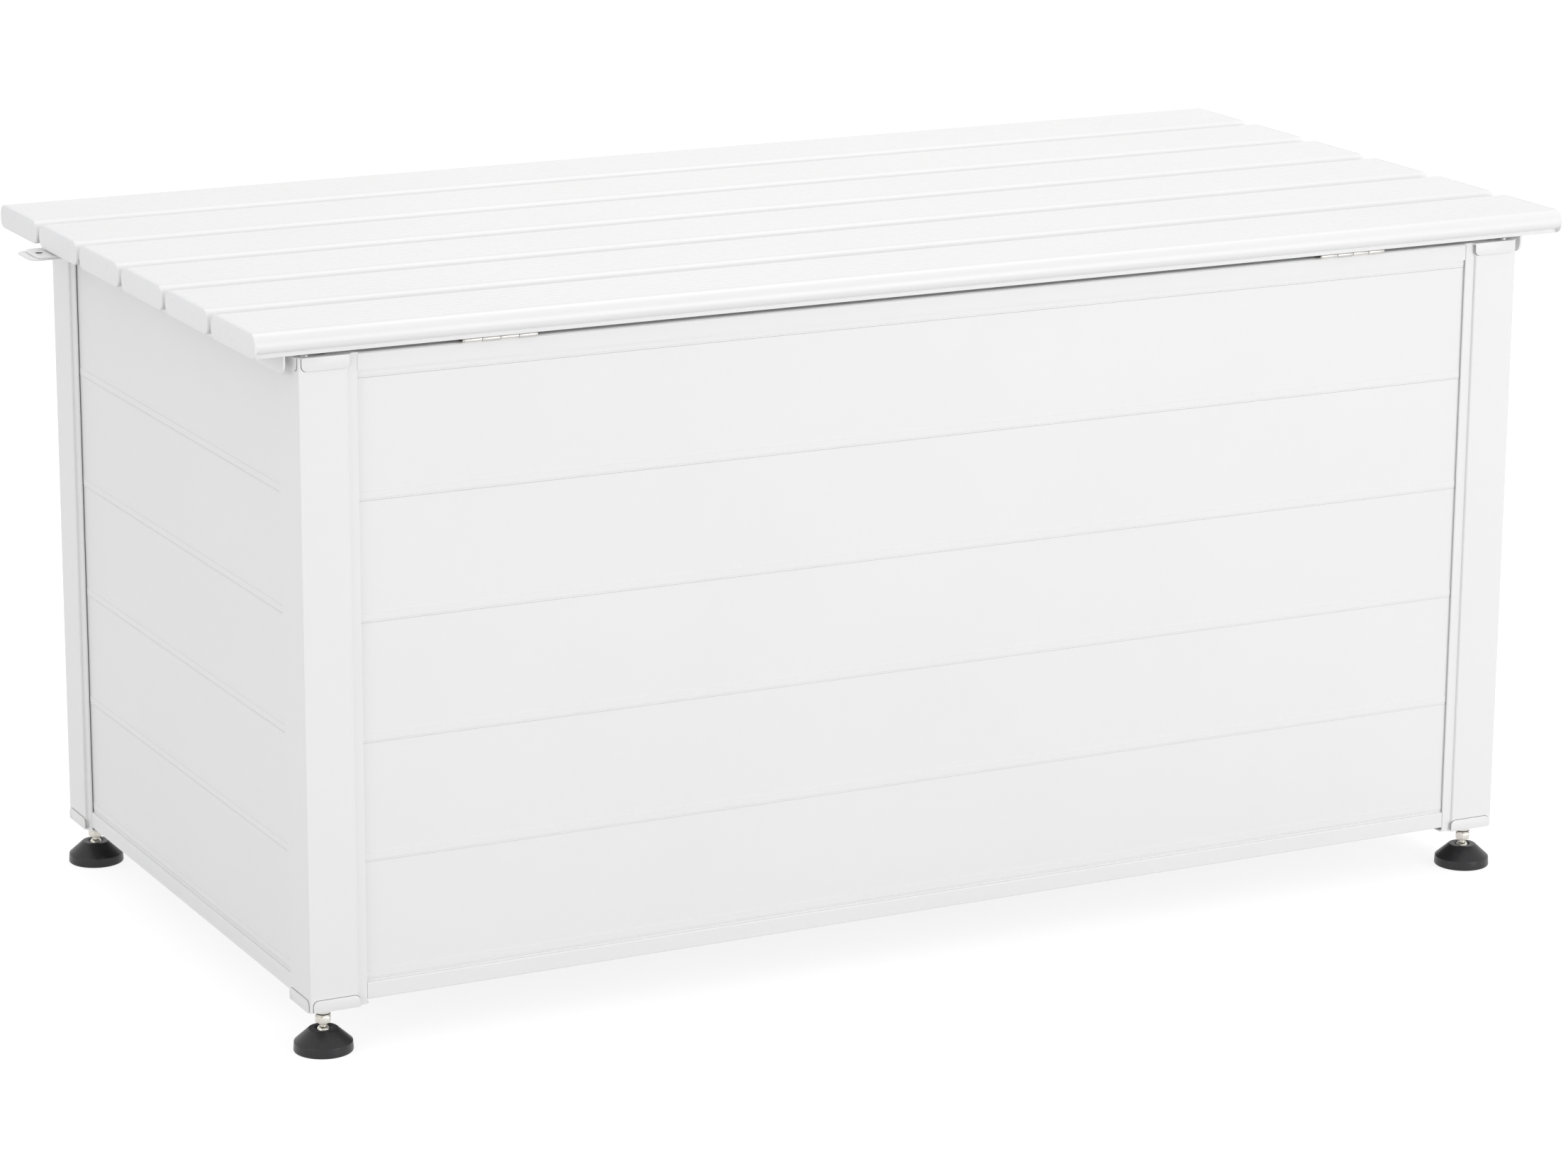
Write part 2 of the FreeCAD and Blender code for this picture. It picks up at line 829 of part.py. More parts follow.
def hasp_plate(tip, low, high, head_low):
    """Make one hasp plate with its padlock hole and seats for flush rivet heads."""
    half = hasp_width / 2
    outline = [
        (-hasp_inner_x, hasp_y - half, 0.5),
        (-hasp_inner_x, hasp_y + half, 0.5),
        (-tip, hasp_y + half, hasp_corner_radius),
        (-tip, hasp_y - half, hasp_corner_radius),
    ]
    plate = extrusion(outline, "z", low, high)
    plate = plate.cut(upright(-hasp_hole_x, hasp_y, low, high, hasp_hole_radius))
    for x, y in hasp_rivets():
        plate = plate.cut(upright(x, y, low, high, hinge_screw_radius + run_gap))
        seat = upright(x, y, head_low, head_low + flat_head_height, flat_head_radius + run_gap)
        plate = plate.cut(seat)
    return plate


def foot_place(side_x, side_y):
    """Return the place of one foot's axis."""
    return side_x * (span_x - foot_inset), side_y * (span_y - foot_inset)


def foot_insert():
    """Make the threaded insert in a post's foot, with the collar under the cap."""
    bore = stud_radius + run_gap
    neck = stud_radius + post_wall
    top = post_bottom + insert_height
    plug = extrusion(post_chamber(slide_gap), "z", post_bottom, top)
    collar_low = ground_clearance - collar_height
    collar = upright(foot_inset, foot_inset, collar_low, ground_clearance, collar_radius)
    stem = upright(foot_inset, foot_inset, ground_clearance, post_bottom, neck)
    shape = fused([plug, collar, stem])
    return shape.cut(upright(foot_inset, foot_inset, collar_low, top, bore))


def washer():
    """Make the dark washer between a foot's collar and its nut."""
    top = ground_clearance - collar_height
    ring = upright(foot_inset, foot_inset, top - washer_height, top, washer_radius)
    bore = stud_radius + run_gap
    return ring.cut(upright(foot_inset, foot_inset, top - washer_height, top, bore))


def nut():
    """Make one hexagon nut with its corners chamfered."""
    top = ground_clearance - collar_height - washer_height
    low = top - nut_height
    corner = nut_across_flats / math.sqrt(3)
    outline = []
    for number in range(6):
        turn = math.radians(60 * number + 30)
        outline.append((corner * math.cos(turn), corner * math.sin(turn), 0))
    shape = extrusion(outline, "z", low, top)
    chamfer = corner - nut_across_flats / 2
    widest = corner + nut_height
    lower = Part.makeCone(corner - chamfer, widest, nut_height + chamfer, FreeCAD.Vector(0, 0, low))
    shape = shape.common(lower)
    shape = shape.cut(upright(0, 0, low, top, stud_radius + run_gap))
    shape.translate(FreeCAD.Vector(foot_inset, foot_inset, 0))
    return shape


def foot_stud():
    """Make one foot stud, a threaded rod that ends in a ball."""
    ball = Part.makeSphere(ball_radius, FreeCAD.Vector(foot_inset, foot_inset, ball_height))
    top = ball_height + stud_length
    shaft = upright(foot_inset, foot_inset, ball_height, top, stud_radius)
    return fused([ball, shaft])


def foot_pad():
    """Make one rubber pad with the socket that turns on the ball."""
    outline = [
        (0, 0, 0),
        (pad_radius, 0, 1.0),
        (pad_shoulder_radius, pad_wall_height, 0.6),
        (pad_top_radius, pad_height, pad_edge_radius),
        (pad_mouth_radius, pad_height, 0.4),
        (ball_radius - press_gap, pad_height - pad_mouth_depth, 0),
        (0, pad_height - pad_mouth_depth, 0),
    ]
    face = Part.Face(rounded_wire(outline, "y"))
    solid = face.revolve(FreeCAD.Vector(0, 0, 0), axis_vectors["z"], 360)
    centre = FreeCAD.Vector(0, 0, ball_height)
    solid = solid.cut(Part.makeSphere(ball_radius + run_gap, centre))
    solid.translate(FreeCAD.Vector(foot_inset, foot_inset, 0))
    return solid


def rear_rail_with_holes():
    """Make the hinge side's top rail with the holes for its hinge screws."""
    rail = on_side(top_rail(span_x), "rear")
    radius = hinge_screw_radius + run_gap
    low = top_rail_top - hinge_screw_length - joint_gap
    tools = [upright(x, y, low, top_rail_top, radius) for x, y in hinge_screws()]
    return rail.cut(Part.makeCompound(tools))


def left_rail_with_holes():
    """Make the left end's top rail with the holes for the hasp's rivets."""
    rail = on_side(top_rail(span_y), "left")
    radius = hinge_screw_radius + run_gap
    low = top_rail_top - hinge_screw_length - joint_gap
    tools = [upright(x, y, low, top_rail_top, radius) for x, y in hasp_rivets()]
    return rail.cut(Part.makeCompound(tools))


def floor_panel():
    """Make the floor, one sheet notched round the four posts."""
    side_x = span_x - plank_back - joint_gap
    side_y = span_y - plank_back - joint_gap
    sheet = block(-side_x, side_x, -side_y, side_y, floor_bottom, floor_top)
    notch = lip_end + joint_gap - plank_back
    for sx, sy in corners.values():
        x0, x1 = sorted([sx * side_x, sx * (side_x - notch)])
        y0, y1 = sorted([sy * side_y, sy * (side_y - notch)])
        sheet = sheet.cut(block(x0, x1, y0, y1, floor_bottom, floor_top))
    return sheet


def bearers():
    """Make the hollow bearers that carry the floor from shelf to shelf."""
    first = -span_x + bearer_end_inset + bearer_width / 2
    step = -2 * first / (bearer_count - 1)
    end = span_y - plank_back - joint_gap
    made = []
    for number in range(bearer_count):
        x = first + number * step
        half = bearer_width / 2
        outline = rectangle(x - half, x + half, shelf_top, floor_bottom)
        wall = bearer_wall
        hollow = rectangle(
            x - half + wall, x + half - wall, shelf_top + wall, floor_bottom - wall
        )
        made.append(extrusion(outline, "y", -end, end, [hollow]))
    return made


# Posts, caps and feet, one set at each corner
post_shape = post()
top_cap_shape = top_cap()
bottom_caps = []
inserts = []
washers = []
nuts = []
cap_screws = []
cap_screw_head_height = batten_under - cap_top - joint_gap
cap_screw_head = (lid_screw_radius, cap_screw_head_radius, cap_screw_head_height)
for corner, (side_x, side_y) in corners.items():
    export("post_" + corner, [at_corner(post_shape, side_x, side_y)])
    export("post_top_cap_" + corner, [at_corner(top_cap_shape, side_x, side_y)])
    export("foot_stud_" + corner, [at_corner(foot_stud(), side_x, side_y)])
    export("foot_pad_" + corner, [at_corner(foot_pad(), side_x, side_y)])
    bottom_caps.append(at_corner(bottom_cap(), side_x, side_y))
    inserts.append(at_corner(foot_insert(), side_x, side_y))
    washers.append(at_corner(washer(), side_x, side_y))
    nuts.append(at_corner(nut(), side_x, side_y))
    x = side_x * (span_x - port_place)
    y = side_y * (span_y - port_place)
    cap_screws.append(screw_down(x, y, cap_top, *cap_screw_head, cap_screw_length))
export("post_bottom_caps", bottom_caps)
export("foot_inserts", inserts)
export("foot_washers", washers)
export("foot_nuts", nuts)
export("cap_screws", cap_screws)

# Walls
for number in range(plank_count):
    shape = plank(span_x, number)
    export("rear_plank_" + str(number + 1), [on_side(shape, "rear")])
    export("front_plank_" + str(number + 1), [on_side(shape, "front")])
end_planks = [plank(span_y, number) for number in range(plank_count)]
for side in ("left", "right"):
    export(side + "_end_planks", [on_side(shape, side) for shape in end_planks])
export("rear_top_rail", [rear_rail_with_holes()])
export("front_top_rail", [on_side(top_rail(span_x), "front")])
export("end_top_rails", [left_rail_with_holes(), on_side(top_rail(span_y), "right")])
export("rear_bottom_rail", [on_side(bottom_rail(span_x), "rear")])
export("front_bottom_rail", [on_side(bottom_rail(span_x), "front")])
export("end_bottom_rails", [on_side(bottom_rail(span_y), side) for side in ("left", "right")])

# Floor
export("floor_panel", [floor_panel()])
export("floor_bearers", bearers())

# Lid
end_caps = []
for number in range(slat_count):
    export("lid_slat_" + str(number + 1), [slat(number)])
    end_caps += [slat_end_cap(number, side) for side in (-1, 1)]
export("slat_end_caps", end_caps)
export("lid_batten_left", [end_batten(-1)])
export("lid_batten_right", [end_batten(1)])
export("lid_middle_battens", [middle_batten(side) for side in (-1, 1)])
slat_screw_head = (lid_screw_radius, lid_screw_head_radius, lid_screw_head_height)
slat_screws = []
for x, y in batten_screw_places():
    inner = abs(x) < middle_batten_x + middle_batten_width
    under = slat_bottom - middle_batten_wall if inner else batten_under
    slat_screws.append(screw_up(x, y, under, *slat_screw_head, lid_screw_length))
export("lid_slat_screws", slat_screws)

# Hinges
export("hinge_leaves_box", [hinge_leaf(side, False) for side in (-1, 1)])
export("hinge_leaves_lid", [hinge_leaf(side, True) for side in (-1, 1)])
export("hinge_pins", [hinge_pin(side) for side in (-1, 1)])

# Hasp
hasp_box_top = hasp_split - joint_gap / 2
hasp_lid_bottom = hasp_split + joint_gap / 2
box_seat = hasp_box_top - flat_head_height
lid_seat = hasp_lid_bottom + flat_head_height
export("hasp_plate_box", [hasp_plate(hasp_tip, top_rail_top, hasp_box_top, box_seat)])
lid_tip = hasp_tip - hasp_lid_plate_short
lid_plate = hasp_plate(lid_tip, hasp_lid_bottom, batten_under, hasp_lid_bottom)
export("hasp_plate_lid", [lid_plate])

# Small screws of the hinges and rivets of the hasp
small_head = (hinge_screw_radius, flat_head_radius, flat_head_height)
leaf_top = top_rail_top + leaf_thickness
leaf_under = slat_bottom - leaf_thickness
box_screws = [
    screw_down(x, y, leaf_top, *small_head, hinge_screw_length) for x, y in hinge_screws()
]
box_screws += [
    screw_down(x, y, box_seat, *small_head, hasp_rivet_length) for x, y in hasp_rivets()
]
lid_screws = [
    screw_up(x, y, leaf_under, *small_head, hinge_screw_length) for x, y in hinge_screws()
]
lid_screws += [
    screw_up(x, y, lid_seat, *small_head, slat_bottom - lid_seat) for x, y in hasp_rivets()
]
export("small_screws_box", box_screws)
export("small_screws_lid", lid_screws)

# Places that a maker of mating parts needs
print("origin", round(origin_x, 3), round(origin_y, 3))
print("hinge axis", round(hinge_axis_y - origin_y, 3), round(hinge_axis_z, 3))
print("padlock hole", round(-hasp_hole_x - origin_x, 3), round(hasp_y - origin_y, 3))
print("hasp plates", round(top_rail_top, 3), round(hasp_box_top, 3), round(batten_under, 3))
for side_x, side_y in corners.values():
    x, y = foot_place(side_x, side_y)
    print("foot", round(x - origin_x, 3), round(y - origin_y, 3), ball_height)
print("inside", floor_top, round(slat_bottom - middle_batten_height, 3))
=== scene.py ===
"""The looks of a garden cushion box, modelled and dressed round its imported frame.

Lengths are in metres and axes are the frame's: X runs along the box, the hinge side
faces -Y and Z is up. The frame says where each part is. This script gives every part
its finish, models the moulded, turned and pressed hardware, and sets up the studio.
"""

import json
import logging
import math
from collections.abc import Callable, Sequence
from dataclasses import dataclass, field
from enum import Enum
from functools import cache
from typing import Any

import bmesh
import bpy
from mathutils import Matrix, Vector

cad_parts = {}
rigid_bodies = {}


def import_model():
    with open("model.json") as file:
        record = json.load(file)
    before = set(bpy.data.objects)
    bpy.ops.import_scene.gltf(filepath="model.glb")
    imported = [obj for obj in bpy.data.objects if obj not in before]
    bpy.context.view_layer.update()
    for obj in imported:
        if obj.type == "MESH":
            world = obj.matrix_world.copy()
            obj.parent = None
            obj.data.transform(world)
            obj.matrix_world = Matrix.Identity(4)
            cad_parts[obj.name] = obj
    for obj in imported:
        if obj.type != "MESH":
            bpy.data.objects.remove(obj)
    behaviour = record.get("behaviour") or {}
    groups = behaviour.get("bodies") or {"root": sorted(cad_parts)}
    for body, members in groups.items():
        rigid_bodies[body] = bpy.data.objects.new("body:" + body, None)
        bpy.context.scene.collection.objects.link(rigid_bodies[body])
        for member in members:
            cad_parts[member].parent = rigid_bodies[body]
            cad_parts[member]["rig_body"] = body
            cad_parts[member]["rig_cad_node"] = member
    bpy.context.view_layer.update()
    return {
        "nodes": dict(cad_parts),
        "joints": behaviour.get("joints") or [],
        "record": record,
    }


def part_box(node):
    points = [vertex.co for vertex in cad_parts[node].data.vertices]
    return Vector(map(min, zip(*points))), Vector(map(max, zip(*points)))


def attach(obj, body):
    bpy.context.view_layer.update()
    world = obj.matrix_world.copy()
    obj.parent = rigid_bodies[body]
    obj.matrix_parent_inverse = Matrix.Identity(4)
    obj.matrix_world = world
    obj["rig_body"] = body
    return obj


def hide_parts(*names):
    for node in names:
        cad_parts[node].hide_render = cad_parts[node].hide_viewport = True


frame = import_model()

MM = 0.001
CORNERS = ("rear_left", "rear_right", "front_left", "front_right")
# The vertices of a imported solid's loose triangles meet within this gap.
WELD_GAP = 0.012 * MM
# Packed faces that turn by less than this, in degrees, are one flat face.
FLAT_ANGLE = 0.6
# The small screws left of this are the rivets of the padlock hasp.
HASP_END = -0.6
# Two directions agree where their dot product is above this.
ALIGNED = 0.99
# Two places on a piece agree within this.
NEAR = 0.1 * MM
# Packed sizes and places are compared to this many decimals of a metre.
DECIMALS = 4

Colour = tuple[float, float, float]
Box = tuple[Vector, Vector]
Test = Callable[[Vector, Vector], bool]

log = logging.getLogger("cushion_box")


class Axis(Enum):
    """A direction along the box, with the turn that lays a Z primitive on it."""

    X = (0.0, math.pi / 2, 0.0)
    Y = (math.pi / 2, 0.0, 0.0)
    Z = (0.0, 0.0, 0.0)

    @property
    def vector(self) -> Vector:
        """Return the unit vector."""
        return Vector([float(self.name == letter) for letter in "XYZ"])


class Kind(Enum):
    """What the bench selects in edit mode."""

    FACES = "FACE"
    EDGES = "EDGE"


class Side(Enum):
    """The left or right end of the box, seen from the hinge side."""

    LEFT = -1
    RIGHT = 1


# Shader expressions


class Link:
    """One shader socket that takes part in Python expressions."""

    def __init__(self, tree: "Tree", socket: bpy.types.NodeSocket) -> None:
        """Wrap an output socket of a tree."""
        self.tree = tree
        self.socket = socket

    def _math(self, operation: str, *values: Any) -> "Link":
        """Add a Math node.

        Args:
            operation: The node's operation.
            values: Links or numbers, in the order of the node's inputs.

        Returns:
            The node's result.
        """
        inputs = dict(enumerate(values))
        node = self.tree.node("ShaderNodeMath", {"operation": operation}, inputs)
        return Link(self.tree, node.outputs[0])

    def __add__(self, other: Any) -> "Link":
        """Add."""
        return self._math("ADD", self, other)

    def __radd__(self, other: Any) -> "Link":
        """Add to a number."""
        return self._math("ADD", other, self)

    def __sub__(self, other: Any) -> "Link":
        """Subtract."""
        return self._math("SUBTRACT", self, other)

    def __rsub__(self, other: Any) -> "Link":
        """Subtract from a number."""
        return self._math("SUBTRACT", other, self)

    def __mul__(self, other: Any) -> "Link":
        """Multiply."""
        return self._math("MULTIPLY", self, other)

    def __rmul__(self, other: Any) -> "Link":
        """Multiply a number."""
        return self._math("MULTIPLY", other, self)

    def __truediv__(self, other: Any) -> "Link":
        """Divide."""
        return self._math("DIVIDE", self, other)

    def above(self, level: float, width: float) -> "Link":
        """Return 0 below a level, 1 above it, and a ramp of a width between."""
        ramp = (self - (level - width / 2)) / width
        return ramp._math("MINIMUM", ramp._math("MAXIMUM", ramp, 0.0), 1.0)


class Tree:
    """The node tree of a material or a world, with the few calls that build it."""

    def __init__(self, owner: bpy.types.Material | bpy.types.World) -> None:
        """Empty a tree.

        Args:
            owner: The material or world that the tree belongs to.
        """
        owner.use_nodes = True
        self.owner = owner
        self.nodes = owner.node_tree.nodes
        self.links = owner.node_tree.links
        self.nodes.clear()

    def node(
        self, kind: str, settings: dict[str, Any] | None = None, inputs: dict[Any, Any] | None = None
    ) -> bpy.types.Node:
        """Add a node.

        Args:
            kind: The node's type.
            settings: Its own settings, set before its sockets.
            inputs: Links or values, by the input's name or number.

        Returns:
            The new node.
        """
        made = self.nodes.new(kind)
        for name, value in (settings or {}).items():
            setattr(made, name, value)
        for place, value in (inputs or {}).items():
            socket = made.inputs[place]
            if isinstance(value, Link):
                self.links.new(value.socket, socket)
            else:
                socket.default_value = value
        return made

    def object_place(self, scale: Sequence[float] = (1.0, 1.0, 1.0)) -> Link:
        """Read the place on the piece.

        Args:
            scale: What each coordinate is multiplied by; a small one draws a pattern out.

        Returns:
            The scaled object coordinates.
        """
        place = Link(self, self.node("ShaderNodeTexCoord").outputs["Object"])
        inputs = {"Vector": place, "Scale": scale}
        return Link(self, self.node("ShaderNodeMapping", None, inputs).outputs[0])

    def noise(self, place: Link, size: float, detail: float = 2.0, rough: float = 0.5) -> Link:
        """Return soft noise between 0 and 1 whose lumps are about a size in metres."""
        inputs = {"Vector": place, "Scale": 1.0 / size, "Detail": detail, "Roughness": rough}
        return Link(self, self.node("ShaderNodeTexNoise", None, inputs).outputs["Fac"])

    def blend(self, share: Link, first: Colour, second: Colour) -> Link:
        """Mix two colours.

        Args:
            share: How much of the second colour shows, from 0 to 1.
            first: The first colour.
            second: The second colour.

        Returns:
            The mixed colour.
        """
        inputs = {0: share, 6: (*first, 1.0), 7: (*second, 1.0)}
        node = self.node("ShaderNodeMix", {"data_type": "RGBA"}, inputs)
        return Link(self, node.outputs[2])

    def relief(self, height: Link) -> Link:
        """Return the normal of a surface raised by a height in metres."""
        node = self.node("ShaderNodeBump", None, {"Strength": 1.0, "Distance": 1.0, "Height": height})
        return Link(self, node.outputs[0])

    def surface(self, shader: bpy.types.Node) -> bpy.types.Material:
        """Make a shader the surface of the tree's material.

        Args:
            shader: The last shader node.

        Returns:
            The finished material.
        """
        output = self.node("ShaderNodeOutputMaterial")
        self.links.new(shader.outputs[0], output.inputs["Surface"])
        return self.owner


def new_tree(name: str, preview: Colour) -> Tree:
    """Start a material.

    Args:
        name: Its name.
        preview: The flat colour that stands for it in a plain view.

    Returns:
        Its empty tree.
    """
    material = bpy.data.materials.new(name)
    material.diffuse_color = (*preview, 1.0)
    return Tree(material)


# Finishes


@dataclass(frozen=True)
class PowderCoat:
    """White polyester powder baked on extruded aluminium or on steel."""

    name: str
    grain: Axis | None = None
    colour: Colour = (0.858, 0.858, 0.857)
    thick_colour: Colour = (0.832, 0.832, 0.831)
    cloud_size: float = 160 * MM
    patch_size: float = 9 * MM
    peel_size: float = 1.8 * MM
    peel_depth: float = 0.006 * MM
    die_line_size: float = 2.4 * MM
    die_line_depth: float = 0.006 * MM
    die_line_stretch: float = 0.006
    sway_size: float = 240 * MM
    sway_depth: float = 0.16 * MM
    roughness: float = 0.36
    roughness_spread: float = 0.12
    refraction: float = 1.5

    def material(self) -> bpy.types.Material:
        """Build the coat: orange peel, faint die lines and the sheet's slight sway.

        Returns:
            The finished material.
        """
        tree = new_tree(self.name, self.colour)
        place = tree.object_place()
        clouds = tree.noise(place, self.cloud_size, detail=3.0)
        peel = tree.noise(place, self.peel_size, detail=1.5)
        sway = tree.noise(place, self.sway_size, detail=1.0)
        height = peel * self.peel_depth + sway * self.sway_depth
        if self.grain is not None:
            stretch = [self.die_line_stretch if part else 1.0 for part in self.grain.vector]
            lines = tree.noise(tree.object_place(stretch), self.die_line_size)
            height = height + lines * self.die_line_depth
        patches = tree.noise(place, self.patch_size)
        inputs = {
            "Base Color": tree.blend(clouds, self.colour, self.thick_colour),
            "Roughness": self.roughness + (patches - 0.5) * self.roughness_spread,
            "Normal": tree.relief(height),
            "IOR": self.refraction,
        }
        return tree.surface(tree.node("ShaderNodeBsdfPrincipled", None, inputs))


@dataclass(frozen=True)
class Moulding:
    """Moulded plastic or rubber with a fine spark-eroded grain and a little dust."""

    name: str
    colour: Colour
    dust_colour: Colour
    roughness: float
    gloss: float = 0.5
    grain_size: float = 0.5 * MM
    grain_depth: float = 0.01 * MM
    flow_size: float = 22 * MM
    flow_depth: float = 0.05 * MM
    dust_size: float = 9 * MM
    dust_level: float = 0.62
    dust_width: float = 0.16
    dust_roughness: float = 0.12
    grain_roughness: float = 0.1
    refraction: float = 1.48

    def material(self) -> bpy.types.Material:
        """Build the moulding with its grain, flow marks and patches of dust.

        Returns:
            The finished material.
        """
        tree = new_tree(self.name, self.colour)
        place = tree.object_place()
        dust = tree.noise(place, self.dust_size, detail=5.0, rough=0.65)
        dust = dust.above(self.dust_level, self.dust_width)
        grain = tree.noise(place, self.grain_size)
        flow = tree.noise(place, self.flow_size, detail=1.0)
        roughness = self.roughness + dust * self.dust_roughness
        inputs = {
            "Base Color": tree.blend(dust, self.colour, self.dust_colour),
            "Roughness": roughness + (grain - 0.5) * self.grain_roughness,
            "Normal": tree.relief(grain * self.grain_depth + flow * self.flow_depth),
            "Specular IOR Level": self.gloss,
            "IOR": self.refraction,
        }
        return tree.surface(tree.node("ShaderNodeBsdfPrincipled", None, inputs))


@dataclass(frozen=True)
class Metal:
    """Bare or plated metal with rolling or turning lines and light smudges."""

    name: str
    colour: Colour
    dull_colour: Colour
    roughness: float
    line_size: float = 0.35 * MM
    line_depth: float = 0.002 * MM
    line_stretch: Sequence[float] = (1.0, 1.0, 1.0)
    smudge_size: float = 6 * MM
    smudge_roughness: float = 0.12

    def material(self) -> bpy.types.Material:
        """Build the metal with its lines and smudges.

        Returns:
            The finished material.
        """
        tree = new_tree(self.name, self.colour)
        smudge = tree.noise(tree.object_place(), self.smudge_size, detail=4.0, rough=0.6)
        lines = tree.noise(tree.object_place(self.line_stretch), self.line_size)
        inputs = {
            "Base Color": tree.blend(smudge, self.colour, self.dull_colour),
            "Metallic": 1.0,
            "Roughness": self.roughness + smudge * self.smudge_roughness,
            "Normal": tree.relief(lines * self.line_depth),
        }
        return tree.surface(tree.node("ShaderNodeBsdfPrincipled", None, inputs))


@dataclass
class Finishes:
    """Every finish of the box, built once and found by name."""

    recipes: tuple[Any, ...] = (
        PowderCoat("coat_along_x", Axis.X),
        PowderCoat("coat_along_y", Axis.Y),
        PowderCoat("coat_upright", Axis.Z),
        PowderCoat("coat_pressed", None, peel_depth=0.008 * MM, roughness=0.4),
        Moulding(
            "end_cap_moulding",
            colour=(0.875, 0.875, 0.885),
            dust_colour=(0.85, 0.85, 0.86),
            roughness=0.5,
        ),
        Moulding(
            "pad_moulding",
            colour=(0.0135, 0.013, 0.015),
            dust_colour=(0.025, 0.0245, 0.027),
            roughness=0.33,
            grain_depth=0.012 * MM,
        ),
        Moulding(
            "washer_moulding",
            colour=(0.02, 0.02, 0.02),
            dust_colour=(0.04, 0.04, 0.04),
            roughness=0.6,
            gloss=0.25,
        ),
        # Painted shade: a dark grey strip that stands for the shade line round each post cap's
        # flange.
        Moulding(
            "seal_moulding",
            colour=(0.21, 0.21, 0.20),
            dust_colour=(0.30, 0.30, 0.29),
            roughness=0.7,
            gloss=0.2,
        ),
        Moulding(
            "floor_moulding",
            colour=(0.76, 0.76, 0.75),
            dust_colour=(0.70, 0.69, 0.67),
            roughness=0.45,
            grain_size=1.2 * MM,
            grain_depth=0.03 * MM,
            dust_size=60 * MM,
        ),
        Metal("ball_nickel", (0.73, 0.71, 0.66), (0.66, 0.63, 0.57), roughness=0.08),
        Metal(
            "nut_nickel",
            (0.70, 0.68, 0.63),
            (0.60, 0.57, 0.52),
            roughness=0.22,
            line_stretch=(1.0, 1.0, 0.15),
            line_depth=0.004 * MM,
        ),
        Metal("screw_stainless", (0.62, 0.61, 0.60), (0.52, 0.51, 0.50), roughness=0.2),
        # Dark steel for the hasp holes' walls: partly the bare cut edge's own colour, partly painted
        # shade inside the hole.
        Metal("punched_steel", (0.20, 0.19, 0.18), (0.11, 0.10, 0.09), roughness=0.45),
        Metal(
            "hinge_rolled",
            (0.66, 0.65, 0.62),
            (0.56, 0.55, 0.52),
            roughness=0.30,
            line_stretch=(0.04, 1.0, 1.0),
            line_depth=0.003 * MM,
        ),
    )
    built: dict[str, bpy.types.Material] = field(default_factory=dict)

    def __post_init__(self) -> None:
        """Build every material."""
        for recipe in self.recipes:
            self.built[recipe.name] = recipe.material()

    def __getitem__(self, name: str) -> bpy.types.Material:
        """Return a material by its recipe's name."""
        return self.built[name]


# The bench


def clear_bench() -> None:
    """Leave edit mode and deselect everything."""
    if bpy.context.object is not None and bpy.context.object.mode != "OBJECT":
        bpy.ops.object.mode_set(mode="OBJECT")
    bpy.ops.object.select_all(action="DESELECT")


def take(item: bpy.types.Object) -> None:
    """Select one object alone and make it active.

    Args:
        item: The object.
    """
    clear_bench()
    item.select_set(True)
    bpy.context.view_layer.objects.active = item


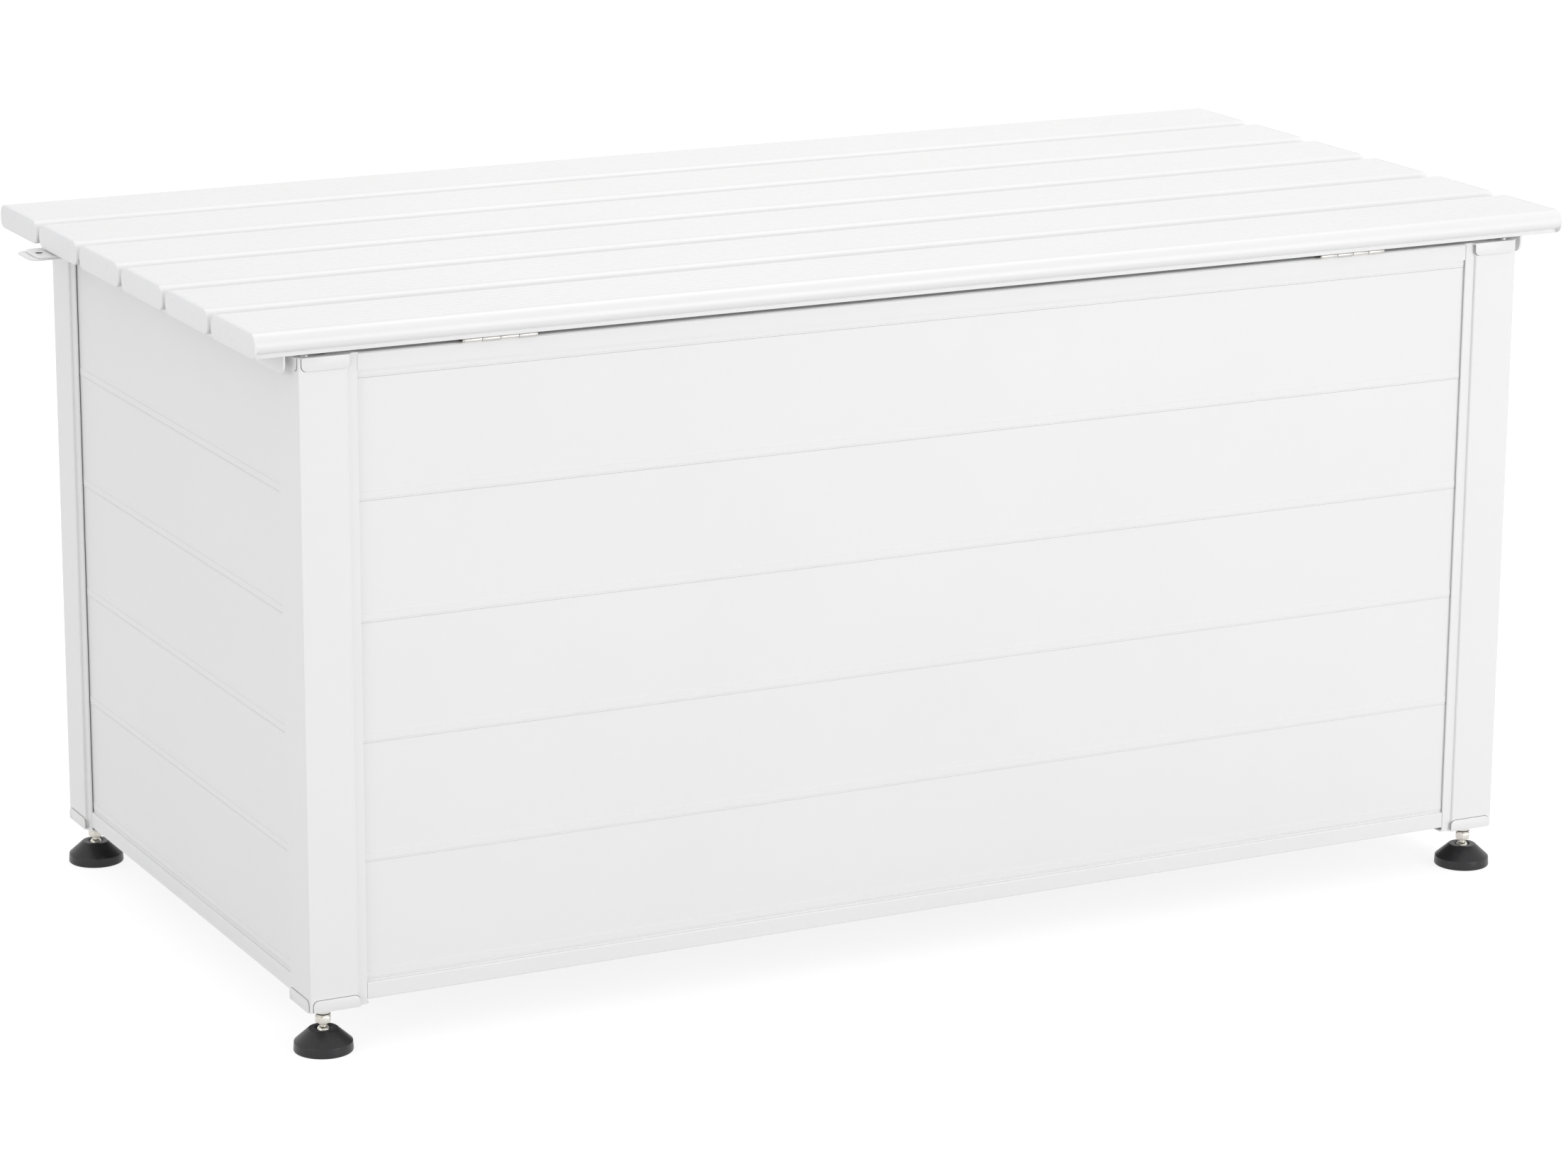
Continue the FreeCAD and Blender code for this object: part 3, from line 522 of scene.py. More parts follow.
class Piece:
    """One mesh on the bench, kept in edit mode while it is shaped."""

    def __init__(self, name: str) -> None:
        """Take the object that was just added and open it for editing.

        Args:
            name: The object's new name.
        """
        self.item: bpy.types.Object = bpy.context.object
        self.item.name = name
        bpy.ops.object.transform_apply(location=True, rotation=True, scale=True)
        bpy.ops.object.mode_set(mode="EDIT")

    @classmethod
    def block(cls, name: str, low: Vector, high: Vector) -> "Piece":
        """Start from a cube.

        Args:
            name: The new object's name.
            low: Its corner with the least X, Y and Z.
            high: The opposite corner.

        Returns:
            The piece, selected all over.
        """
        clear_bench()
        bpy.ops.mesh.primitive_cube_add(size=1, location=(low + high) / 2, scale=high - low)
        return cls(name)

    @classmethod
    def drum(
        cls, name: str, middle: Vector, radius: float, length: float, axis: Axis, sides: int = 32
    ) -> "Piece":
        """Start from a cylinder.

        Args:
            name: The new object's name.
            middle: The middle of its length.
            radius: Its radius.
            length: Its length.
            axis: The way that it lies.
            sides: How many faces go round.

        Returns:
            The piece, selected all over.
        """
        clear_bench()
        bpy.ops.mesh.primitive_cylinder_add(
            vertices=sides, radius=radius, depth=length, location=middle, rotation=axis.value
        )
        return cls(name)

    @classmethod
    def chain(cls, name: str, points: Sequence[Vector]) -> "Piece":
        """Draw a line by extruding one vertex from point to point.

        Args:
            name: The new object's name.
            points: The places of the vertices, in order.

        Returns:
            The piece, with only its last vertex selected.
        """
        clear_bench()
        bpy.ops.mesh.primitive_plane_add(size=MM, location=points[0])
        piece = cls(name)
        bpy.ops.mesh.select_mode(type="VERT")
        bpy.ops.mesh.select_all(action="SELECT")
        bpy.ops.mesh.merge(type="CENTER")
        for here, after in zip(points, points[1:]):
            bpy.ops.mesh.extrude_region_move(TRANSFORM_OT_translate={"value": after - here})
        return piece

    @classmethod
    def turned(cls, name: str, outline: Sequence[tuple[float, float]], steps: int = 48) -> "Piece":
        """Turn an outline of (radius, height) points round the Z axis.

        Args:
            name: The new object's name.
            outline: The points from the axis at the foot to the axis at the top.
            steps: How many faces go round.

        Returns:
            The closed piece, welded, with its faces outwards.
        """
        piece = cls.chain(name, [Vector((radius, 0.0, height)) for radius, height in outline])
        bpy.ops.mesh.select_all(action="SELECT")
        bpy.ops.mesh.spin(steps=steps, angle=math.tau, center=(0, 0, 0), axis=(0, 0, 1))
        return piece.weld()

    @classmethod
    def copy_of(cls, name: str, node: str) -> "Piece":
        """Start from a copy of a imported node, welded and cleared of flat seams.

        Args:
            name: The new object's name.
            node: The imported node.

        Returns:
            The copy, open for editing.
        """
        clear_bench()
        original = frame["nodes"][node]
        original.select_set(True)
        bpy.context.view_layer.objects.active = original
        bpy.ops.object.duplicate()
        twin = bpy.context.object
        twin.parent = None
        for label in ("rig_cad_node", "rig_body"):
            del twin[label]
        bpy.ops.mesh.customdata_custom_splitnormals_clear()
        piece = cls(name)
        piece.weld(WELD_GAP)
        bpy.ops.mesh.mark_sharp(clear=True)
        bpy.ops.mesh.dissolve_limited(angle_limit=math.radians(FLAT_ANGLE))
        return piece

    def weld(self, gap: float = 0.002 * MM) -> "Piece":
        """Merge doubled vertices and turn the faces outwards.

        Args:
            gap: The distance within which vertices merge.

        Returns:
            The piece, for the next step.
        """
        bpy.ops.mesh.select_all(action="SELECT")
        bpy.ops.mesh.remove_doubles(threshold=gap)
        bpy.ops.mesh.normals_make_consistent(inside=False)
        return self

    def pick(self, kind: Kind, test: Test) -> "Piece":
        """Select the faces or edges that pass a test.

        Args:
            kind: Faces or edges.
            test: Takes the middle, and the normal or the edge's direction.

        Returns:
            The piece, for the next step.
        """
        bpy.ops.mesh.select_mode(type=kind.value)
        bpy.ops.mesh.select_all(action="DESELECT")
        mesh = bmesh.from_edit_mesh(self.item.data)
        if kind is Kind.FACES:
            chosen = [f for f in mesh.faces if test(f.calc_center_median(), f.normal)]
        else:
            chosen = []
            for edge in mesh.edges:
                start, end = (corner.co for corner in edge.verts)
                if test((start + end) / 2, (end - start).normalized()):
                    chosen.append(edge)
        for element in chosen:
            element.select_set(True)
        bmesh.update_edit_mesh(self.item.data)
        return self

    def round_edges(self, radius: float, steps: int = 3) -> "Piece":
        """Bevel the selected edges.

        Args:
            radius: The width that the bevel takes from each face.
            steps: How many faces the bevel has.

        Returns:
            The piece, for the next step.
        """
        bpy.ops.mesh.bevel(
            offset=radius, offset_type="OFFSET", segments=steps, profile=0.5, affect="EDGES"
        )
        return self

    def pull(self, step: Vector) -> "Piece":
        """Extrude the selected faces."""
        bpy.ops.mesh.extrude_region_move(TRANSFORM_OT_translate={"value": step})
        return self

    def inset(self, width: float) -> "Piece":
        """Inset the selected faces."""
        bpy.ops.mesh.inset(thickness=width)
        return self

    def close(self) -> "Piece":
        """Fill the open ends.

        Returns:
            The closed piece, welded.
        """
        bpy.ops.mesh.select_all(action="SELECT")
        bpy.ops.mesh.fill_holes(sides=0)
        return self.weld()

    def modify(self, kind: str, **settings: Any) -> "Piece":
        """Add a modifier and apply it.

        Args:
            kind: The modifier's type.
            settings: Its settings, by name.

        Returns:
            The piece, open for editing again.
        """
        bpy.ops.object.mode_set(mode="OBJECT")
        modifier = self.item.modifiers.new(kind.lower(), kind)
        for name, value in settings.items():
            setattr(modifier, name, value)
        bpy.ops.object.modifier_apply(modifier=modifier.name)
        bpy.ops.object.mode_set(mode="EDIT")
        return self

    def soften(self, radius: float, steps: int = 2, angle: float = 35.0) -> "Piece":
        """Round every edge that is sharp enough.

        Args:
            radius: The width that the rounding takes.
            steps: How many faces it has.
            angle: The least turn, in degrees, of an edge that is rounded.

        Returns:
            The piece, open for editing.
        """
        limit = math.radians(angle)
        return self.modify(
            "BEVEL", width=radius, segments=steps, limit_method="ANGLE", angle_limit=limit
        )

    def carve(self, cutter: "Piece", operation: str = "DIFFERENCE") -> "Piece":
        """Cut another piece away, or keep what both share, or unite them.

        Args:
            cutter: The other piece, which is deleted.
            operation: The modifier's operation.

        Returns:
            The piece, open for editing again.
        """
        take(self.item)
        self.modify("BOOLEAN", object=cutter.item, operation=operation, solver="EXACT")
        cutter.discard()
        take(self.item)
        bpy.ops.object.mode_set(mode="EDIT")
        return self

    def join(self, *others: "Piece") -> "Piece":
        """Add other pieces to this one as separate shells of the same object.

        Args:
            others: The pieces, which end as objects of their own.

        Returns:
            The whole, open for editing.
        """
        take(self.item)
        for other in others:
            other.item.select_set(True)
        bpy.ops.object.join()
        bpy.ops.object.mode_set(mode="EDIT")
        return self

    def copy(self, name: str) -> "Piece":
        """Make a twin with its own mesh.

        Args:
            name: The twin's name.

        Returns:
            The twin, open for editing.
        """
        take(self.item)
        bpy.ops.object.duplicate()
        return Piece(name)

    def move(self, step: Vector) -> "Piece":
        """Move the whole mesh.

        Args:
            step: How far and which way.

        Returns:
            The piece, for the next step.
        """
        bpy.ops.mesh.select_all(action="SELECT")
        bpy.ops.transform.translate(value=step)
        return self

    def turn(self, angle: float, axis: Axis) -> "Piece":
        """Turn the whole mesh about an axis through the origin.

        Args:
            angle: The right-handed turn, in degrees.
            axis: The axis.

        Returns:
            The piece, for the next step.
        """
        bpy.ops.mesh.select_all(action="SELECT")
        # Without a window the operator turns the other way.
        back = -math.radians(angle)
        bpy.ops.transform.rotate(value=back, orient_axis=axis.name, center_override=(0, 0, 0))
        return self

    def discard(self) -> None:
        """Delete a master that only its copies needed."""
        clear_bench()
        bpy.data.objects.remove(self.item)

    def dress(
        self,
        body: str,
        material: bpy.types.Material,
        slot: str,
        nodes: Sequence[str],
        angle: float = 35.0,
    ) -> bpy.types.Object:
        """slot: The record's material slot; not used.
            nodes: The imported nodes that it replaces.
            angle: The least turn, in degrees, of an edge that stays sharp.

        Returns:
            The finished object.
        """
        take(self.item)
        bpy.ops.object.shade_smooth_by_angle(angle=math.radians(angle), keep_sharp_edges=False)
        self.item.data.materials.clear()
        self.item.data.materials.append(material)
        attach(self.item, body)
        if nodes:
            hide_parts(*nodes)
        log.info("%s: %d faces on %s", self.item.name, len(self.item.data.polygons), body)
        return self.item


@cache
def solids_of(node: str) -> list[Box]:
    """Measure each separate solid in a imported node.

    Args:
        node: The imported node.

    Returns:
        The solids' boxes, sorted by their low corners.
    """
    clear_bench()
    original = frame["nodes"][node]
    original.select_set(True)
    bpy.context.view_layer.objects.active = original
    bpy.ops.object.duplicate()
    bpy.ops.object.mode_set(mode="EDIT")
    bpy.ops.mesh.select_all(action="SELECT")
    bpy.ops.mesh.remove_doubles(threshold=WELD_GAP)
    bpy.ops.mesh.separate(type="LOOSE")
    bpy.ops.object.mode_set(mode="OBJECT")
    boxes = []
    for item in list(bpy.context.selected_objects):
        corners = [Vector(corner) for corner in item.bound_box]
        boxes.append((corners[0], corners[6]))
        bpy.data.objects.remove(item)
    return sorted(boxes, key=lambda box: tuple(round(value, DECIMALS) for value in box[0]))


def middle_of(box: Box) -> Vector:
    """Return the middle of a box."""
    return (box[0] + box[1]) / 2


def round_corner(
    before: Vector, here: Vector, after: Vector, radius: float, steps: int
) -> list[Vector]:
    """Return the points of the arc that rounds one corner of a flat outline.

    Args:
        before: The point before the corner.
        here: The corner.
        after: The point after it.
        radius: The arc's radius.
        steps: The arc's number of edges.

    Returns:
        The arc's points, or the corner alone if the radius is 0.
    """
    if radius <= 0:
        return [here]
    back = (before - here).normalized()
    ahead = (after - here).normalized()
    half = back.angle(ahead) / 2
    reach = radius / math.tan(half)
    centre = here + (back + ahead).normalized() * (radius / math.sin(half))
    start = here + back * reach - centre
    end = here + ahead * reach - centre
    spread = start.angle(end)
    points = []
    for number in range(steps + 1):
        share = number / steps
        mixed = start * math.sin((1 - share) * spread) + end * math.sin(share * spread)
        points.append(centre + mixed / math.sin(spread))
    return points


def rounded(
    outline: Sequence[tuple[float, float, float]], steps: int = 4
) -> list[tuple[float, float]]:
    """Round the corners of an open outline.

    Args:
        outline: Points of radius, height and rounding.
        steps: How many edges each rounded corner takes.

    Returns:
        The radius and height of each point of the rounded outline.
    """
    places = [Vector((u, v)) for u, v, _ in outline]
    points = [places[0]]
    for number in range(1, len(places) - 1):
        before, here, after = places[number - 1 : number + 2]
        points += round_corner(before, here, after, outline[number][2], steps)
    points.append(places[-1])
    return [(place.x, place.y) for place in points]


# The lid


@dataclass
class SlatEndCaps:
    """Twelve moulded caps that close the slats' ends, each a little proud of its seam."""

    finishes: Finishes
    thickness: float = 2.0 * MM
    seam: float = 0.1 * MM
    top_radius: float = 11.0 * MM
    foot_radius: float = 9.0 * MM
    rim_radius: float = 0.7 * MM
    rim_steps: int = 3
    corner_steps: int = 10
    crown_inset: float = 5.0 * MM
    crown_height: float = 0.25 * MM

    def build(self) -> None:
        """Model one cap for each end and copy it to every slat."""
        for side in Side:
            boxes = [box for box in solids_of("slat_end_caps") if middle_of(box).x * side.value > 0]
            master = self.cap(side, boxes[0])
            for number, box in enumerate(boxes, 1):
                name = f"end_cap_{number}_{side.name.lower()}"
                step = Vector((0.0, box[0].y - boxes[0][0].y, 0.0))
                twin = master.copy(name).move(step)
                material = self.finishes["end_cap_moulding"]
                twin.dress("lid", material, "end_cap_plastic", ["slat_end_caps"])
            master.discard()

    def cap(self, side: Side, box: Box) -> Piece:
        """Model one cap at the place of one packed cap.

        Args:
            side: The end of the box that it closes.
            box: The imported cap's box, pegs included.

        Returns:
            The cap.
        """
        low, high = box[0].copy(), box[1].copy()
        outward = Axis.X.vector * side.value
        if side is Side.LEFT:
            high.x = low.x + self.thickness - self.seam
            outer = low.x
        else:
            low.x = high.x - self.thickness + self.seam
            outer = high.x
        piece = Piece.block(f"end_cap_master_{side.name.lower()}", low, high)
        middle = middle_of(box)

        def corner_of(sign: int) -> Test:
            """Return the test of the long edges above (1) or below (-1) the middle."""
            return lambda place, run: abs(run.x) > ALIGNED and (place.z - middle.z) * sign > 0

        def outer_rim(place: Vector, run: Vector) -> bool:
            """Tell whether an edge is in the outer face."""
            return abs(place.x - outer) < NEAR

        piece.pick(Kind.EDGES, corner_of(1)).round_edges(self.top_radius, self.corner_steps)
        piece.pick(Kind.EDGES, corner_of(-1)).round_edges(self.foot_radius, self.corner_steps)
        piece.pick(Kind.EDGES, outer_rim).round_edges(self.rim_radius, self.rim_steps)
        piece.pick(Kind.FACES, lambda place, normal: normal.dot(outward) > ALIGNED)
        piece.inset(self.crown_inset)
        # The crown rises, and the cap sinks by as much, so that the crown's top ends in the
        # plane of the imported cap.
        bpy.ops.transform.translate(value=outward * self.crown_height)
        return piece.move(-outward * self.crown_height)


@dataclass
class Pressings:
    """Battens, post caps and hasp plates, whose paint rounds their cut edges."""

    finishes: Finishes
    edge_radius: float = 0.35 * MM
    edge_steps: int = 2
    # Sizes of the dark strip round each post cap's flange, which is painted shade along the flange's
    # edge.
    seal_width: float = 0.35 * MM
    seal_proud: float = 0.15 * MM
    seal_root: float = 0.7 * MM
    flange_least: float = 0.5 * MM
    wall_tilt: float = 0.5

    def build(self) -> None:
        """Lay the painted shade lines round the caps' flanges, then soften and dress each pressed or
        cut part.
        """
        self.lay_seals()
        for side in Side:
            self.soften(f"lid_batten_{side.name.lower()}", "lid", "coat_along_y")
        self.soften("lid_middle_battens", "lid", "coat_along_y")
        for corner in CORNERS:
            self.soften("post_top_cap_" + corner, "box", "coat_pressed")
        self.soften("post_bottom_caps", "box", "coat_pressed")
        for body in ("box", "lid"):
            plate = self.soften("hasp_plate_" + body, body, "coat_pressed", "coated_steel")
            self.bare_and_shaded_hole(plate)

    def soften(
        self, node: str, body: str, finish: str, slot: str = "coated_aluminium"
    ) -> bpy.types.Object:
        """Stand a copy with rounded edges in a node's place.

        Args:
            node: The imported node.
            body: The body that it rides on.
            finish: The finish's name.
            slot: The record's material slot.

        Returns:
            The finished object.
        """
        piece = Piece.copy_of(node + "_coated", node).soften(self.edge_radius, self.edge_steps)
        return piece.dress(body, self.finishes[finish], slot, [node])

    def lay_seals(self) -> None:
        """Lay a thin dark grey strip round the flanges of every post cap, as painted shade where each
        flange's edge shades the post.
        """
        shade_lines = []
        for corner in CORNERS:
            middle = middle_of(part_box("post_" + corner))
            to_end = Vector((math.copysign(1.0, middle.x), 0.0, 0.0))
            to_side = Vector((0.0, math.copysign(1.0, middle.y), 0.0))
            for outward in (to_end, to_side):
                shade_lines.append(self.seal("post_top_cap_" + corner, corner, outward, 1))
                shade_lines.append(self.seal("post_bottom_caps", corner, outward, -1))
        whole = shade_lines[0].join(*shade_lines[1:])
        whole.item.name = "post_cap_seals"
        # The strip's dark grey is painted shade, not a part of the box.
        whole.dress("box", self.finishes["seal_moulding"], "washer_rubber", [])

    def seal(self, node: str, corner: str, outward: Vector, root: int) -> Piece:
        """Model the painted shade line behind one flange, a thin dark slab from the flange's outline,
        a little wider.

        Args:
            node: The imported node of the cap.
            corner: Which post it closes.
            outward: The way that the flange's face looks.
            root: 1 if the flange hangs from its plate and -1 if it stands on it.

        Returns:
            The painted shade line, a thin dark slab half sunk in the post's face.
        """
        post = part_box("post_" + corner)
        middle = middle_of(post)
        reach = (post[1] - post[0]).xy.length
        face = (post[1] if outward.x + outward.y > 0 else post[0]).dot(outward)

        def outer(place: Vector, normal: Vector) -> bool:
            """Tell whether a face is the outside of this post's flange."""
            proud = place.dot(outward) > face + self.flange_least
            return proud and normal.dot(outward) > ALIGNED and (place - middle).xy.length < reach

        piece = Piece.copy_of(f"{node}_{corner}_seal", node).pick(Kind.FACES, outer)
        bpy.ops.mesh.select_all(action="INVERT")
        bpy.ops.mesh.delete(type="FACE")
        bpy.ops.mesh.select_all(action="SELECT")
        places = [vertex.co.copy() for vertex in bmesh.from_edit_mesh(piece.item.data).verts]
        low = Vector([min(place[n] for place in places) for n in range(3)])
        high = Vector([max(place[n] for place in places) for n in range(3)])
        size = high - low
        wide = self.seal_width
        grown = [1 + 2 * wide / part if part > MM else 1.0 for part in size]
        grown[2] = 1 + (wide - self.seal_root) / size.z
        bpy.ops.transform.resize(value=grown, center_override=(low + high) / 2)
        sink = face + self.seal_proud - low.dot(outward)
        drop = Vector((0.0, 0.0, -root * (wide + self.seal_root) / 2))
        bpy.ops.transform.translate(value=outward * sink + drop)
        piece.pull(-2 * self.seal_proud * outward)
        return piece.weld()

    def bare_and_shaded_hole(self, plate: bpy.types.Object) -> None:
        """Give the wall of a hasp plate's punched hole dark bare steel, which also paints in the
        shade inside the hole.

        Args:
            plate: The finished plate.
        """
        mount = next(m for m in frame["record"]["mounts"] if m["name"] == "padlock_hole")
        reach = mount["dims"]["r_mm"] * MM + self.edge_radius
        # The wall's dark colour is partly bare steel and partly painted shade.
        plate.data.materials.append(self.finishes["punched_steel"])
        for face in plate.data.polygons:
            off = (face.center.xy - Vector(mount["pos_m"]).xy).length
            if off < reach and abs(face.normal.z) < self.wall_tilt:
                face.material_index = 1


# Hinges


@dataclass
class Hinges:
    """Two rolled steel butt hinges with four knuckles each and a headed pin."""

    finishes: Finishes
    knuckles: int = 4
    knuckle_gap: float = 0.3 * MM
    knuckle_radius: float = 2.2 * MM
    rim_radius: float = 0.45 * MM
    leaf_thickness: float = 1.2 * MM
    leaf_edge_radius: float = 0.3 * MM
    leaf_corner_radius: float = 2.0 * MM
    head_radius: float = 1.9 * MM
    head_length: float = 1.0 * MM
    head_dome: float = 0.8 * MM
    pin_radius: float = 1.1 * MM
    pin_sides: int = 24
    sides: int = 40

    def build(self) -> None:
        """Model both leaves and the pin of each hinge."""
        axis = Vector(next(j["pos_m"] for j in frame["joints"] if j["name"] == "lid_hinge"))
        for on_lid in (False, True):
            body = "lid" if on_lid else "box"
            node = "hinge_leaves_" + body
            for side, box in zip(Side, solids_of("hinge_leaves_box")):
                leaf = self.leaf(side, box, axis, on_lid)
                leaf.dress(body, self.finishes["hinge_rolled"], "hinge_steel", [node])
        for side, box in zip(Side, solids_of("hinge_pins")):
            pin = self.pin(side, box, axis)
            pin.dress("box", self.finishes["nut_nickel"], "hinge_steel", ["hinge_pins"])

    def leaf(self, side: Side, box: Box, axis: Vector, on_lid: bool) -> Piece:
        """Model one leaf, a plate that rolls into its own knuckles.

        Args:
            side: Which hinge.
            box: The box leaf's box, which gives the length and the reach.
            axis: A point on the hinge line.
            on_lid: Whether it is the lid's leaf.

        Returns:
            The leaf with its knuckles.
        """
        label = f"hinge_leaf_{'lid' if on_lid else 'box'}_{side.name.lower()}"
        plate_low, plate_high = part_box("hinge_leaves_lid" if on_lid else "hinge_leaves_box")
        low_z = plate_high.z - self.leaf_thickness if on_lid else plate_low.z
        start, reach = box[0].x, box[1].y
        length = box[1].x - start
        step = length / self.knuckles
        root = axis.y + self.knuckle_radius + self.knuckle_gap
        low = Vector((start, root, low_z))
        high = Vector((start + length, reach, low_z + self.leaf_thickness))
        plate = Piece.block(label, low, high)

        def far_corner(place: Vector, run: Vector) -> bool:
            """Tell whether an edge is an upright corner of the plate's far end."""
            return abs(run.z) > ALIGNED and place.y > reach - NEAR

        plate.pick(Kind.EDGES, far_corner).round_edges(self.leaf_corner_radius, steps=6)
        plate.soften(self.leaf_edge_radius)
        parts = []
        for number in range(int(on_lid), self.knuckles, 2):
            left = start + number * step + self.knuckle_gap / 2
            right = left + step - self.knuckle_gap
            place = Vector(((left + right) / 2, axis.y, axis.z))
            name = f"{label}_knuckle_{number}"
            roll = Piece.drum(name, place, self.knuckle_radius, right - left, Axis.X, self.sides)
            roll.soften(self.rim_radius, steps=3, angle=60.0)
            web_low = Vector((left, axis.y, low_z))
            web_high = Vector((right, root + self.leaf_edge_radius, low_z + self.leaf_thickness))
            parts += [roll, Piece.block(name + "_web", web_low, web_high)]
        return plate.join(*parts)

    def pin(self, side: Side, box: Box, axis: Vector) -> Piece:
        """Model the pin with a domed head at each end.

        Args:
            side: Which hinge.
            box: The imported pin's box.
            axis: A point on the hinge line.

        Returns:
            The pin.
        """
        length = box[1].x - box[0].x
        shoulder = length - self.head_length
        outline = [
            (0.0, 0.0, 0.0),
            (self.head_radius, 0.0, self.head_dome),
            (self.head_radius, self.head_length, 0.0),
            (self.pin_radius, self.head_length, 0.0),
            (self.pin_radius, shoulder, 0.0),
            (self.head_radius, shoulder, 0.0),
            (self.head_radius, length, self.head_dome),
            (0.0, length, 0.0),
        ]
        name = f"hinge_pin_{side.name.lower()}"
        piece = Piece.turned(name, rounded(outline), self.pin_sides)
        piece.turn(90.0, Axis.Y)
        return piece.move(Vector((box[0].x, axis.y, axis.z)))


# Screws and rivets


class Drive(Enum):
    """The recess in a fastener's head."""

    CROSS = "cross"
    NONE = "none"


@dataclass
class Fasteners:
    """Domed screws with a cross recess, and flush rivets.

    The sizes are shares. Widths, lengths and the crown's rounding are shares of the head's
    radius, and the tip's rounding is one of the shank's. The rest are shares of the head's
    height, which is a share of its radius, or of the screw where that gives less.
    """

    finishes: Finishes
    head_height: float = 0.72
    head_of_screw: float = 0.4
    shank_width: float = 0.5
    tip_round: float = 0.4
    seat_round: float = 0.08
    rim_height: float = 0.342
    rim_round: float = 0.3
    crown_width: float = 0.72
    crown_round: float = 0.5
    recess_width: float = 0.34
    recess_length: float = 1.15
    recess_depth: float = 0.6
    recess_taper: float = 0.7
    sides: int = 28

    def build(self) -> None:
        """Model the heads once for each size and copy them to their places."""
        self.set_of("cap_screws", "box", "screw_steel", facing=1)
        self.set_of("lid_slat_screws", "lid", "screw_steel", facing=-1)
        self.set_of("small_screws_box", "box", "screw_steel", facing=1)
        self.set_of("small_screws_lid", "lid", "screw_steel", facing=-1)

    def set_of(self, node: str, body: str, slot: str, facing: int) -> None:
        """Stand a modelled screw at the place of each packed one.

        Args:
            node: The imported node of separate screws.
            body: The body that they ride on.
            slot: The record's material slot.
            facing: 1 where the heads look up and -1 where they look down.
        """
        boxes = solids_of(node)
        masters: dict[tuple[float, ...], Piece] = {}
        made = []
        for number, box in enumerate(boxes):
            size = box[1] - box[0]
            key = (round(size.x, DECIMALS), round(size.z, DECIMALS))
            if key not in masters:
                rivet = node.startswith("small") and middle_of(box).x < HASP_END
                masters[key] = self.screw(node, size, facing, Drive.NONE if rivet else Drive.CROSS)
            middle = middle_of(box)
            head_face = box[1].z if facing > 0 else box[0].z
            place = Vector((middle.x, middle.y, head_face))
            made.append(masters[key].copy(f"{node}_{number}").move(place))
        whole = made[0].join(*made[1:])
        for master in masters.values():
            master.discard()
        whole.item.name = node + "_turned"
        whole.dress(body, self.finishes["screw_stainless"], slot, [node])

    def screw(self, label: str, size: Vector, facing: int, drive: Drive) -> Piece:
        """Model one screw with the middle of its head's face at the origin.

        Args:
            label: The name that the master takes.
            size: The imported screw's box: its head's width and its whole length.
            facing: 1 where the head looks up and -1 where it looks down.
            drive: The recess in its head.

        Returns:
            The screw.
        """
        head = size.x / 2
        height = min(head * self.head_height, size.z * self.head_of_screw)
        shank = head * self.shank_width
        outline = [
            (0.0, -size.z, 0.0),
            (shank, -size.z, shank * self.tip_round),
            (shank, -height, 0.0),
            (head, -height, height * self.seat_round),
            (head, -height * self.rim_height, height * self.rim_round),
            (head * self.crown_width, 0.0, head * self.crown_round),
            (0.0, 0.0, 0.0),
        ]
        piece = Piece.turned(label + "_master", rounded(outline), self.sides)
        if drive is Drive.CROSS:
            piece.carve(self.cross(head, height))
            piece.weld()
        return piece.turn(180.0, Axis.X) if facing < 0 else piece

    def cross(self, head: float, height: float) -> Piece:
        """Model the tapered cross that cuts the recess of a head.

        Args:
            head: The head's radius.
            height: The head's height.

        Returns:
            The cross, with its tip down.
        """
        half = head * self.recess_length / 2
        width = head * self.recess_width / 2
        depth = height * self.recess_depth
        arms = []
        for along, across in ((half, width), (width, half)):
            low = Vector((-along, -across, -depth))
            high = Vector((along, across, height))
            arm = Piece.block("recess_arm", low, high)
            arm.pick(Kind.FACES, lambda place, normal: normal.z < -ALIGNED)
            taper = (self.recess_taper, self.recess_taper, 1.0)
            bpy.ops.transform.resize(value=taper, center_override=(0, 0, 0))
            arms.append(arm)
        return arms[0].carve(arms[1], "UNION")


# Feet


